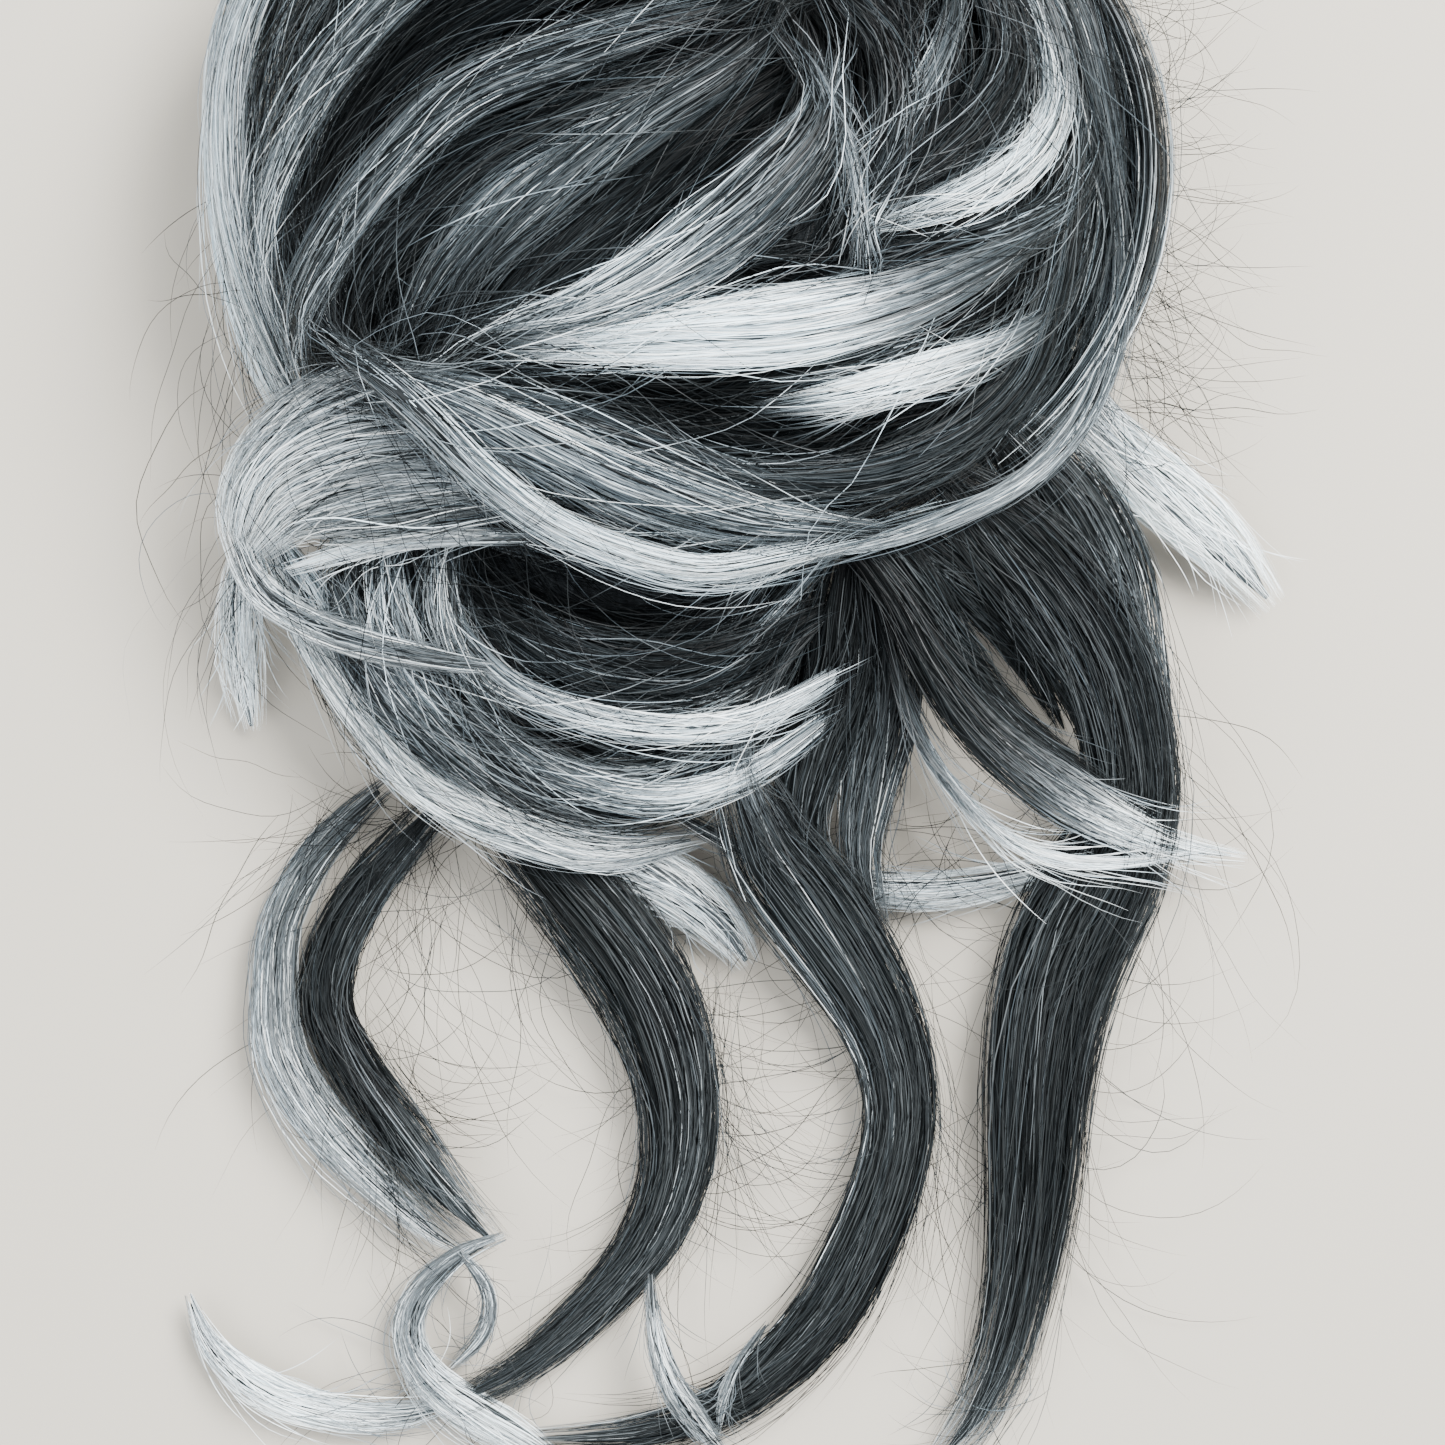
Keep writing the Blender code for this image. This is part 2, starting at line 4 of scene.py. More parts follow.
import bpy
import numpy as np
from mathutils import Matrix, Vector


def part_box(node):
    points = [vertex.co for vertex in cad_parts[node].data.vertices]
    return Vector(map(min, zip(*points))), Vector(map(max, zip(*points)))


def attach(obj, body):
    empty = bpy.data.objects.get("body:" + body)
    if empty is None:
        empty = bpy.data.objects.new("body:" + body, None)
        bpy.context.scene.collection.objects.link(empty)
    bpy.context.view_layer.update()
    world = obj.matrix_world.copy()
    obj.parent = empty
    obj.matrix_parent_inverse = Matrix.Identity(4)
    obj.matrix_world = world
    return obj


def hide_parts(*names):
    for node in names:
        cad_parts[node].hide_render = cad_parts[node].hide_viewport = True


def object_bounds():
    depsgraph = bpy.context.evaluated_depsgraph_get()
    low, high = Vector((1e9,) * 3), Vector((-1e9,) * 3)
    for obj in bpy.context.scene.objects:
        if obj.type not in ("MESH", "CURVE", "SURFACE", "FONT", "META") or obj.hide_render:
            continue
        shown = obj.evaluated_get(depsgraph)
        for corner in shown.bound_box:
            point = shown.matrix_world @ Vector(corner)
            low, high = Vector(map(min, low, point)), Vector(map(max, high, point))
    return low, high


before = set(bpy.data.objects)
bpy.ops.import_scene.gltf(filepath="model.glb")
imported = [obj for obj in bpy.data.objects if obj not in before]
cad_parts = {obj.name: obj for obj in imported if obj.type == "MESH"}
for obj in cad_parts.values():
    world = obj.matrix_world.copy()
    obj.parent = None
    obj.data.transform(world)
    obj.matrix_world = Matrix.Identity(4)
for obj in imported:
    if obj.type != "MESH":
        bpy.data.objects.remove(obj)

cad_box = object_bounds()

# The CAD model's own sizes, in metres
BUN_RADIUS = 0.0565
BUN_HEIGHT = 0.052
BUN_WAIST = 0.016
MOUND_HEIGHT = 0.025
MOUND_WAIST = 0.008
TENDRIL_DROP = 0.083
LOCK_DEPTH = 0.0064
CAVITY_RADIUS = 0.023
CAVITY_DEPTH = 0.030
BUN_EDGE = 1.5
TENDRIL_TIP = 3.0
MOUND_BASE = 0.76
MOUND_BLEND = 6

MM = 0.001

STRAND_WIDTH = 0.13 * MM
FLYAWAY_WIDTH = 0.085 * MM
FLYAWAY_REACH = 8 * MM
SEGMENT = 4.5 * MM
ROUTE_SAMPLES = 64
THINNING = 1.0

# The bun's middle in the row's frame is the middle of its elastic band
band_low, band_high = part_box("elastic_band")
MIDDLE = np.array([(band_low.x + band_high.x) / 2, (band_low.y + band_high.y) / 2, 0.0])

Mound = namedtuple("Mound", "across up radius_across radius_up waist top")
MOUNDS = (
    Mound(0.00, 0.00, 1.00, 1.00, BUN_WAIST, BUN_HEIGHT),
    Mound(-0.22, -1.02, 0.68, 0.58, MOUND_WAIST, MOUND_HEIGHT),
)

# A bundle of strands. Name is the CAD node that it stands for or joins. Plump is its depth as a share
# of its width, layers says how densely it is covered, and dark and light are the shares of odd dark
# and light fibres in it. Shades runs from its root to its tip, 0 being black and 1 white; they hold
# the hair's own tones with painted highlights on the lit crests of locks and painted shade in the
# gaps and hollows between them. Tone picks the piece's material, lift is how far it rides above the
# hair under it, in mm, and lean how much lighter its right-hand edge is, which paints a highlight on
# one edge and shade on the other.
Bundle = namedtuple("Bundle", "name plump layers dark light shades path tone lift lean")


def lock(name, plump, layers, dark, light, shades, path, tone=None, lift=0.0, lean=0):
    """A bundle from a row of the tables: shares are hundredths there, and half widths thousandths."""
    units = (100, 100, 1000) if len(path[0]) == 3 else (100, 100, 1, 1000)
    return Bundle(name, plump / 100, layers, dark / 100, light / 100, np.array(shades) / 100,
                  np.array(path) / units, tone, lift, lean / 100)


# Bundles wound on the mounds: the path holds (across, up, half width) in shares of the bun's radius
WOUND = (
    lock("lock_upper_right", 70, 8, 4, 10, (30, 32, 38, 60, 94, 100, 80),
        ((30, 72, 20), (63, 59, 28), (80, 36, 28), (86, 13, 34), (81.5, -1.5, 37), (70, -12, 36),
         (56, -18, 26), (42, -21, 11)), "white", 1.6),
    lock("lock_crest", 60, 9, 18, 16, (36, 38, 46, 67, 79, 70, 46),
        ((37, 15, 35), (34.5, 0, 60), (25, -13, 80), (12, -24.5, 80), (-3, -33.5, 62), (-20, -40, 44),
         (-42, -42, 20)), "silver", 2.2),
    lock("lock_white_wave", 60, 9, 6, 8, (26, 36, 56, 94, 100, 98, 66),
        ((93, -7, 17), (82, -19, 32), (68, -28.5, 52), (50, -37, 70), (28, -42.5, 78), (5, -44.5, 60),
         (-14, -45.5, 40), (-34, -45.5, 20)), "white", 1.8),
    lock("lock_lower_wave", 60, 8, 8, 10, (30, 36, 52, 88, 100, 92, 40),
        ((95, -19, 14), (88, -33, 24), (76, -43, 36), (63, -49, 43), (49, -53.5, 41), (36, -56.5, 32),
         (20, -58.5, 18)), "white", 1.6),
    lock("lock_centre", 70, 9, 24, 16, (12, 28, 40, 44, 46, 36, 30),
        ((28, 24, 25), (14, 10, 50), (-2, -1, 55), (-17, -12, 55), (-29, -21, 48), (-40, -32, 38),
         (-48, -44, 20)), "grey", 1.8),
    lock("lock_left_arc", 60, 8, 26, 24, (28, 36, 44, 46, 54, 62, 70),
        ((20, 27, 30), (-14, 16, 55), (-40, 7, 60), (-58, -9, 60), (-70, -24, 55), (-79, -38, 45),
         (-82, -50, 20)), "silver", 1.2),
    lock("lock_inner_arc", 50, 7, 36, 22, (22, 26, 24, 16, 20, 24, 20),
        ((11, 14, 30), (-15, 3, 60), (-36, -6, 67), (-52, -18, 65), (-63, -31, 50),
         (-67, -44, 25)), "dark", 0.2),
    lock("lock_upper_arc", 50, 7, 40, 14, (28, 28, 16, 3, 0, 2, 34),
        ((18, 40, 40), (-14, 35, 70), (-44, 21, 70), (-65, 0, 60), (-78, -24, 35)), "dark"),
    lock("lock_left_sweep", 50, 7, 22, 24, (28, 38, 48, 54, 58, 68, 78),
        ((24, 54, 30), (-19, 48, 45), (-48, 35, 50), (-70, 14, 50), (-83, -9, 45), (-86, -24, 35),
         (-84, -40, 20)), "grey", 0.8, lean=20),
    lock("lock_crown", 60, 7, 25, 22, (20, 20, 10, 32, 34, 40),
        ((36, 32, 40), (48, 17, 60), (50, -1, 60), (42, -17, 25)), "dark", 0.8),
    lock("lock_right_fold", 60, 7, 22, 18, (26, 28, 28, 24, 18, 26, 42),
        ((52, 56, 30), (70, 36, 45), (75, 18, 52), (69, 4, 50), (58, -7, 40),
         (44, -17, 20)), "grey", 1),
    lock("lock_right_under", 60, 7, 25, 22, (34, 36, 40, 26, 28, 24),
        ((96, -1, 30), (88, -13, 45), (74, -22, 50), (58, -27, 50), (44, -31, 40),
         (28, -34, 20)), "dark", 0.6),
    lock("lock_right_inner", 50, 8, 25, 22, (46, 42, 40, 28, 36, 42, 48),
        ((93, 5, 26), (90, -15, 50), (87, -32, 58), (80, -50, 63), (66, -64, 65), (48, -72, 60),
         (28, -74, 50), (6, -72, 25)), "grey", 0.8),
    lock("lock_lower_band", 50, 8, 20, 18, (50, 66, 74, 70, 64, 66, 44),
        ((-62, -50, 30), (-42, -58, 60), (-25, -67, 73), (-5, -76, 75), (16, -82, 64), (33, -83, 45),
         (50, -83, 22)), "silver", 1, lean=-15),
    lock("lock_lower_s", 70, 9, 17, 12, (50, 68, 82, 94, 98, 96, 60),
        ((-73, -41, 26), (-62, -50, 40), (-51, -59.5, 48), (-38.5, -72, 48), (-24, -82.5, 42),
         (-7, -89.5, 41), (10, -92.5, 37), (29, -89, 31), (48, -84, 16)), "white", 2.8, lean=-20),
    lock("lock_right_rim", 50, 8, 20, 26, (34, 36, 38, 42, 58, 62, 54, 72, 62),
        ((14, 88, 30), (58, 70, 45), (84, 42, 50), (95, 12, 55), (99, -15, 58), (96, -42, 58),
         (86, -62, 52), (70, -75, 42), (46, -83, 25)), "grey", 1),
    lock("lock_left_rim", 50, 8, 10, 20, (46, 60, 78, 88, 86, 92, 68),
        ((10, 90, 50), (-34, 86, 60), (-71, 65, 65), (-93, 30, 65), (-96, -4, 60), (-91, -28, 50),
         (-82, -50, 30)), "pale", 0.8, lean=25),
    lock("lock_top", 50, 7, 22, 18, (26, 28, 30, 32, 34, 40),
        ((46, 66, 50), (6, 74, 70), (-32, 69, 70), (-62, 48, 60), (-80, 22, 40)), "dark", 0.6),
    lock("lock_mound_upper", 70, 8, 8, 10, (56, 68, 80, 92, 100, 96, 78, 40),
        ((-51, -90, 18), (-46, -103, 28), (-36, -114.5, 31), (-23, -121.5, 33), (-6, -126, 34),
         (14, -126, 33), (31, -119.5, 28), (45, -109.5, 20), (54, -99.5, 9)), "white", 1.6),
    lock("lock_mound_lower", 60, 8, 16, 15, (50, 44, 56, 78, 90, 84, 66, 38),
        ((-51, -118, 18), (-38, -128, 38), (-20, -138.5, 44), (0, -142, 40), (20, -136.5, 34),
         (38, -123.5, 20), (49, -112, 9)), "silver", 0.8),
    lock("lock_mound_inner", 50, 7, 30, 30, (20, 26, 20, 14, 10),
        ((-40, -98, 40), (-16, -111, 70), (10, -112, 70), (38, -99, 40)), "dark", 0.2),
    lock("lock_mound_left", 50, 7, 18, 15, (62, 54, 56, 46, 56),
        ((-74, -93, 40), (-66, -112, 55), (-54, -126, 55), (-36, -140, 35)), "pale", 0.4),
)

# More bundles wound on the mounds, too fine for solids of their own: each joins the piece of a lock
FINE = (
    lock("lock_inner_arc", 60, 7, 20, 28, (34, 44, 58, 62, 46, 36),
        ((12, 14, 18), (-6, 3, 30), (-26, -9, 38), (-40, -21, 40), (-49, -32, 34),
         (-55, -44, 18)), lift=0.6),
    lock("lock_centre", 60, 8, 28, 20, (4, 8, 12, 28, 28, 44),
        ((26, 9, 40), (9, -3, 62), (-6, -16, 66), (-21, -28, 60), (-32, -37, 45),
         (-42, -44, 20)), lift=0.6),
    lock("lock_crest", 80, 6, 5, 30, (28, 50, 66, 71, 77, 46),
        ((27, 20, 8), (34, 9, 13), (40, -5, 13), (43, -20, 14), (44.5, -32, 12)), lift=3.4),
    lock("lock_right_fold", 70, 7, 12, 22, (34, 42, 60, 76, 54),
        ((62, 38, 15), (63, 28, 24), (60, 17, 26), (54, 6, 25), (44, -7, 12)), lift=1.8),
    lock("lock_upper_right", 60, 6, 25, 20, (38, 44, 62, 52, 26),
        ((56, 62, 30), (78, 44, 30), (92, 22, 30), (96, 2, 30), (94, -14, 20)), lift=1),
    lock("lock_right_fold", 60, 6, 20, 26, (26, 34, 48, 44, 30),
        ((93, -30, 18), (88, -44, 26), (78, -56, 28), (62, -66, 26), (42, -72, 14)), lift=1),
    lock("lock_lower_band", 50, 7, 20, 22, (30, 58, 54, 46, 48, 56),
        ((-70, -46, 25), (-46, -54, 40), (-18, -61, 40), (12, -71, 35), (36, -77, 25)), lift=0.8),
    lock("lock_mound_inner", 60, 6, 22, 26, (44, 34, 24, 16, 20),
        ((-30, -118, 20), (-6, -120, 28), (16, -114, 26), (34, -102, 22), (46, -94, 14)), lift=0.8),
    lock("lock_mound_left", 50, 6, 20, 20, (70, 80, 70, 52),
        ((-62, -86, 30), (-60, -102, 48), (-54, -116, 45), (-42, -130, 30)), lift=1.6),
    lock("lock_mound_left", 50, 6, 24, 20, (56, 70, 58, 44),
        ((-49, -84, 28), (-49, -98, 40), (-45, -110, 40), (-35, -124, 25)), lift=1.6),
    lock("lock_mound_inner", 60, 6, 16, 28, (56, 66, 60, 52, 40),
        ((39, -86, 12), (29, -97, 20), (20, -107, 22), (11, -115, 22), (-1, -119, 12)), lift=1.4),
)

# Free bundles: the path holds (across, up, height in mm, half width)
FREE = (
    lock("fold_fan", 22, 10, 16, 22, (62, 62, 64, 74, 86, 94),
        ((-22, -67, 34, 110), (-38, -66, 34, 150), (-54, -66, 33, 175), (-70, -68, 29, 170),
         (-84, -74, 24, 130), (-93, -86, 18, 50)), "pale"),
    lock("fold_return", 50, 9, 8, 10, (76, 82, 78, 68, 60, 66),
        ((-96, -82, 18, 30), (-90, -95, 18, 38), (-78, -103, 20, 36), (-64, -108, 23, 34),
         (-51, -111, 25, 28), (-36, -113, 26, 14)), "white"),
    lock("lock_mound_edge", 50, 9, 10, 15, (90, 84, 90, 92, 90, 88, 50),
        ((-87, -90, 12, 27), (-76, -108, 16, 50), (-64, -125, 16, 58), (-52, -138, 15, 58),
         (-34, -148, 14, 54), (-13, -154, 12, 48), (10, -151, 10, 20)), "pale", lean=10),
    lock("flick_upper_right", 35, 8, 4, 10, (64, 78, 96, 100, 100, 100),
        ((80, -34, 16, 45), (93, -52, 13, 62), (105, -65, 10, 72), (117, -75, 8, 74), (129, -85, 6, 62),
         (141, -98, 3, 34)), "white"),
    lock("flick_lower_right", 40, 9, 12, 12, (16, 4, 8, 26, 52, 88, 100, 98),
        ((34, -76, 22, 24), (50, -95, 22, 34), (60, -112, 21, 44), (72, -127, 19, 54),
         (87, -139, 17, 60), (101, -147, 14, 52), (117, -153, 9, 34), (134, -156, 5, 14)), "white"),
    lock("flick_under_right", 45, 8, 8, 10, (80, 92, 90, 80, 60, 60),
        ((98, -156, 4, 20), (80, -161, 4, 36), (61, -164, 4, 42), (42, -162, 4, 34), (18, -154, 4, 25),
         (-4, -142, 5, 18)), "pale"),
    lock("flick_under_centre", 40, 6, 5, 10, (86, 92, 86, 88, 90),
        ((-30, -150, 6, 45), (-13, -156, 6, 68), (2, -163, 5, 68), (13, -172, 4, 56),
         (20, -182, 3, 32)), "pale"),
    lock("tendril_right", 32, 10, 32, 10, (28, 24, 30, 36, 38, 36, 36, 30, 30, 36, 54, 84),
        ((58, -68, 21, 50), (74, -78, 20, 85), (88, -92, 18, 105), (99, -109, 16, 110),
         (105, -127, 13, 105), (107, -144, 10, 105), (101, -160, 8, 135), (95, -172, 6, 145),
         (89, -190, 5, 138), (86, -212, 5, 122), (85, -234, 4, 106), (82, -258, 4, 84),
         (77, -278, 3, 72), (70, -291, 3, 58), (60, -302, 3, 26)), "dark", lean=-10),
    lock("tendril_centre", 42, 10, 28, 10, (40, 34, 40, 38, 36, 33, 31, 28, 28, 32, 42, 52),
        ((14, -130, 14, 60), (20, -144, 13, 90), (24, -154, 11, 115), (32, -165, 9, 122),
         (41, -178, 7, 115), (48, -190, 6, 100), (53, -203, 5, 86), (54.5, -217, 5, 78),
         (52, -231, 5, 76), (46, -247, 5, 76), (38, -262, 5, 74), (28, -274, 4, 66), (14, -285, 4, 52),
         (-4, -291, 4, 42), (-19, -293, 3, 34), (-36, -293, 3, 18)), "dark", lean=20),
    lock("tendril_middle", 42, 10, 28, 10, (36, 31, 32, 33, 35, 35, 36, 38, 42),
        ((-42, -140, 9, 70), (-31, -152, 8, 96), (-19, -166, 7, 110), (-10, -178, 6, 112),
         (-3, -190, 5, 110), (1.5, -203, 5, 100), (3.5, -216, 5, 88), (2.2, -231, 5, 76),
         (-3.5, -245.5, 5, 64), (-14, -259, 4, 54), (-28, -272, 4, 46), (-40, -280, 4, 36),
         (-54, -286, 3, 18)), "dark"),
    lock("tendril_left_dark", 45, 9, 30, 14, (38, 34, 28, 26, 28, 38, 56, 64),
        ((-50, -142, 7, 40), (-60, -153, 6, 48), (-69, -164, 5, 52), (-76, -178, 5, 58),
         (-77.5, -192, 5, 58), (-70.5, -207, 5, 60), (-60, -222, 5, 64), (-50, -235, 5, 56),
         (-38, -248, 4, 36)), "dark"),
    lock("tendril_left_pale", 45, 9, 5, 15, (40, 50, 60, 70, 76, 78, 80, 76, 70),
        ((-62, -138, 7, 26), (-74, -148, 5, 35), (-83, -159, 4, 42), (-89, -172, 4, 46),
         (-90, -186, 4, 51), (-89, -200, 4, 54), (-83, -213, 4, 54), (-74, -225, 4, 49),
         (-64, -235, 4, 40), (-54, -244, 4, 28), (-44, -250, 4, 12)), "pale", lean=10),
    lock("curl_loop", 60, 9, 5, 10, (68, 68, 78, 84, 92, 94, 92),
        ((-36, -244, 8, 12), (-47, -249, 7, 23), (-56, -258, 5, 32), (-59, -267, 4, 37),
         (-57, -275, 3, 40), (-51, -282, 3, 46), (-42, -288, 3, 50), (-33, -293, 3, 44),
         (-22, -300, 2, 18)), "white"),
    lock("curl_inner", 60, 9, 5, 10, (70, 70, 70, 66),
        ((-47, -247, 8, 9), (-41, -256, 6, 18), (-40, -263, 5, 19), (-43, -270, 4, 18),
         (-50, -277, 3, 8)), "white"),
    lock("curl_left", 50, 9, 3, 10, (80, 90, 98, 98, 88, 76, 70),
        ((-110, -259, 3, 9), (-106, -269, 3, 24), (-100, -276, 3, 36), (-92, -281.5, 3, 44),
         (-82, -285.5, 3, 42), (-70, -288, 3, 36), (-58, -287.5, 3, 28), (-46, -284, 3, 10)), "white"),
    lock("curl_end_near", 60, 9, 6, 10, (50, 80, 76, 66, 80),
        ((-3, -253, 7, 8), (-2, -266, 8, 20), (1, -277, 8, 29), (7, -287, 7, 31),
         (15, -298, 3, 12)), "pale"),
)

# Finer free bundles, each of which joins the piece of a lock
FREE_FINE = (
    lock("fold_fan", 60, 9, 5, 10, (34, 78, 94, 100, 100),
        ((-26, -85, 34, 14), (-42, -84.5, 32, 20), (-57, -85, 28, 22), (-71, -87.5, 23, 22),
         (-84, -91, 19, 14))),
    lock("fold_fan", 50, 9, 12, 15, (62, 70, 76, 84, 90, 90),
        ((-46, -48, 38, 30), (-63, -50, 34, 45), (-79, -56, 28, 50), (-90, -66, 23, 50),
         (-95, -78, 19, 45), (-93, -90, 17, 30))),
    lock("lock_mound_edge", 25, 5, 2, 15, (84, 96, 98, 98),
        ((-93, -84, 14, 30), (-96, -96, 10, 50), (-97, -110, 6, 50), (-95, -127, 3, 26))),
    lock("lock_left_rim", 50, 9, 5, 12, (66, 84, 98, 100, 98, 80),
        ((-84, 55, 22, 36), (-94, 30, 20, 50), (-96.5, 2, 19, 55), (-93.5, -24, 18, 52),
         (-88, -46, 16, 42), (-81, -62, 14, 25))),
    lock("lock_right_rim", 60, 7, 14, 20, (36, 48, 58, 62, 66, 72, 74, 76),
        ((97, 16, 22, 12), (100, 0, 22, 18), (102.5, -18.5, 21, 22), (101, -38.5, 21, 26),
         (93, -58, 21, 28), (80, -71.5, 23, 24), (63, -80, 25, 20), (46, -85.5, 26, 16),
         (28, -88.5, 27, 8))),
    lock("lock_right_rim", 50, 8, 20, 20, (34, 38, 42, 42, 46),
        ((93, 42, 22, 28), (99, 20, 20, 45), (101.5, -2, 19, 50), (101, -24, 19, 50),
         (96, -46, 19, 35))),
    lock("lock_mound_left", 50, 8, 6, 15, (90, 94, 84, 70),
        ((-90, -80, 15, 30), (-84, -92, 15, 55), (-75, -106, 15, 55), (-63, -120, 15, 30))),
    lock("tendril_right", 40, 9, 32, 16, (32, 26, 28, 30, 34, 36),
        ((42, -76, 22, 35), (55, -92, 21, 60), (64, -105, 19, 52), (72, -116, 17, 40),
         (83, -127, 16, 32), (95, -136, 14, 28), (104, -142, 12, 18))),
    lock("tendril_right", 40, 9, 30, 25, (36, 34, 46, 54, 48, 36, 32),
        ((78, -58, 20, 50), (92, -72, 19, 70), (101, -88, 17, 75), (106, -106, 14, 65),
         (110, -126, 11, 50), (111, -146, 8, 45), (104, -166, 6, 35))),
    lock("tendril_right", 40, 8, 35, 18, (32, 24, 28, 34, 36),
        ((60, -70, 21, 60), (72, -84, 19, 85), (85, -100, 17, 80), (96, -118, 14, 62),
         (103, -138, 10, 45))),
    lock("tendril_right", 40, 7, 35, 18, (20, 20, 26, 32),
        ((70, -56, 19, 40), (79, -68, 18, 62), (87, -82, 16, 60), (95, -98, 14, 45))),
    lock("tendril_right", 40, 8, 35, 18, (28, 24, 26, 30, 34),
        ((48, -80, 22, 40), (58, -86, 20, 60), (68, -94, 18, 55), (78, -104, 15, 45),
         (86, -116, 12, 30), (92, -128, 10, 14))),
    lock("flick_lower_right", 60, 7, 8, 10, (14, 50, 80, 100, 100, 90),
        ((48, -100, 19, 10), (56, -124, 17, 15), (64, -138, 16, 16), (76, -150, 15, 16),
         (90, -156, 14, 15), (106, -156.5, 12, 13), (124, -154.5, 8, 7))),
    lock("tendril_centre", 60, 6, 15, 25, (10, 26, 64, 36, 40),
        ((38, -98, 17, 14), (24, -116, 18, 18), (18, -132, 17, 22), (24, -150, 13, 24),
         (38, -170, 10, 16))),
    lock("tendril_centre", 35, 8, 25, 20, (10, 16, 34, 46, 44, 38),
        ((44, -86, 20, 40), (49, -102, 17, 70), (50, -120, 13, 78), (47, -138, 10, 62),
         (45, -155, 8, 45), (50, -174, 6, 22))),
    lock("tendril_centre", 40, 8, 28, 18, (10, 12, 18, 28, 36, 34),
        ((42, -84, 21, 40), (41, -100, 17, 78), (39, -116, 14, 85), (34, -132, 12, 75),
         (31, -148, 10, 62), (36, -168, 8, 35))),
    lock("curl_end_near", 60, 7, 6, 10, (56, 66, 76, 86),
        ((24, -264, 8, 6), (17, -274, 8, 11), (14, -282, 7, 12), (12.5, -292, 4, 6))),
    lock("lock_mound_edge", 50, 7, 20, 15, (62, 42, 50, 66, 46),
        ((-66, -102, 17, 30), (-58, -114, 17, 40), (-46, -128, 16, 42), (-30, -140, 15, 38),
         (-10, -147, 13, 20))),
)

# Bundles round the bun's waist: from start to stop in degrees from +X, and how far their two ends
# and middle stand outside the bun, in shares of its radius
Waist = namedtuple("Waist", "name tone start stop out_start out_middle out_stop shades")
WAIST = (
    Waist("waist_right", "grey", -46, 46, 0.03, 0.00, 0.03, (0.40, 0.44, 0.40, 0.36)),
    Waist("waist_top", "dark", 50, 132, 0.03, 0.00, 0.03, (0.30, 0.26, 0.32)),
    Waist("waist_left", "grey", 136, 218, 0.03, 0.02, 0.03, (0.60, 0.84, 0.96, 0.88)),
    Waist("waist_outer_right", "pale", -42, 40, 0.06, 0.14, 0.03, (0.64, 0.58, 0.42, 0.34, 0.28)),
)
WAIST_HALF_WIDTH = 7.8 * MM
WAIST_HALF_DEPTH = 3.2 * MM
WAIST_LAYERS = 6
WAIST_DARK = 0.24
WAIST_LIGHT = 0.22

# Seeds of the random draws. Each lock and each waist bundle adds its place in the tables.
LOCK_SEED = 1000
WAIST_SEED = 1200
BUN_SEED = 7
FLYAWAY_SEED = 23

# Bundles: how much of their width the strands cover, how many strands make a clump, the shares of
# strands that keep to no clump and that stray from the bundle, and the samples of a clump's sway
COVER = 0.76
CLUMP = 16
LOOSE = 0.3
STRAY = 0.14
SWAY_SAMPLES = 33

# Samples of a wound bundle that guide the flow, the reach of each, and segments of a strand there
GUIDE_SAMPLES = 24
GUIDE_REACH = 0.035
FLOW_SEGMENTS = 13

# How far apart a face's two edges are on the maps
MAP_STEP = 0.004


def unit(vectors):
    """The same directions with a length of one."""
    return vectors / np.maximum(np.linalg.norm(vectors, axis=-1, keepdims=True), 1e-12)


def up_from_middle(share):
    """Y of shares of the bun's radius, which past the bun's edge run on to the tendrils' tips."""
    past = (-share - BUN_EDGE) / (TENDRIL_TIP - BUN_EDGE)
    return np.where(share >= -BUN_EDGE, share * BUN_RADIUS, -BUN_EDGE * BUN_RADIUS - past * TENDRIL_DROP)


def core_sizes(mound):
    """Radii and rise of a mound's core, a lock's depth inside the heap's outer face."""
    return (mound.radius_across * BUN_RADIUS - LOCK_DEPTH,
            mound.radius_up * BUN_RADIUS - LOCK_DEPTH,
            mound.top - LOCK_DEPTH - mound.waist)


def reach_on(mound, across, up):
    """How far out on a mound places are, its rim being at one."""
    return np.hypot((across - mound.across) / mound.radius_across, (up - mound.up) / mound.radius_up)


def heap_at(across, up):
    """Points on the blended cores of the mounds, from the bun's middle, and outward directions."""
    total = np.zeros(np.shape(across))
    middle = np.zeros(np.shape(across) + (3,))
    outward = np.zeros(np.shape(across) + (3,))
    for mound in MOUNDS:
        radius_across, radius_up, rise = core_sizes(mound)
        beyond = np.maximum(1.0, reach_on(mound, across, up))
        u = (across - mound.across) / mound.radius_across / beyond
        v = (up - mound.up) / mound.radius_up / beyond
        lift = np.sqrt(np.maximum(0.0, 1 - u * u - v * v))
        point = np.stack((mound.across * BUN_RADIUS + u * radius_across,
                          mound.up * BUN_RADIUS + v * radius_up, mound.waist + rise * lift), axis=-1)
        normal = unit(np.stack((u / radius_across, v / radius_up, lift / rise), axis=-1))
        weight = (point[..., 2] / BUN_HEIGHT / beyond ** 2) ** MOUND_BLEND
        total += weight
        middle += point * weight[..., None]
        outward += normal * weight[..., None]
    middle /= total[..., None]
    middle[..., 2] = np.maximum(middle[..., 2], BUN_HEIGHT * total ** (1 / MOUND_BLEND))
    return middle, unit(outward)


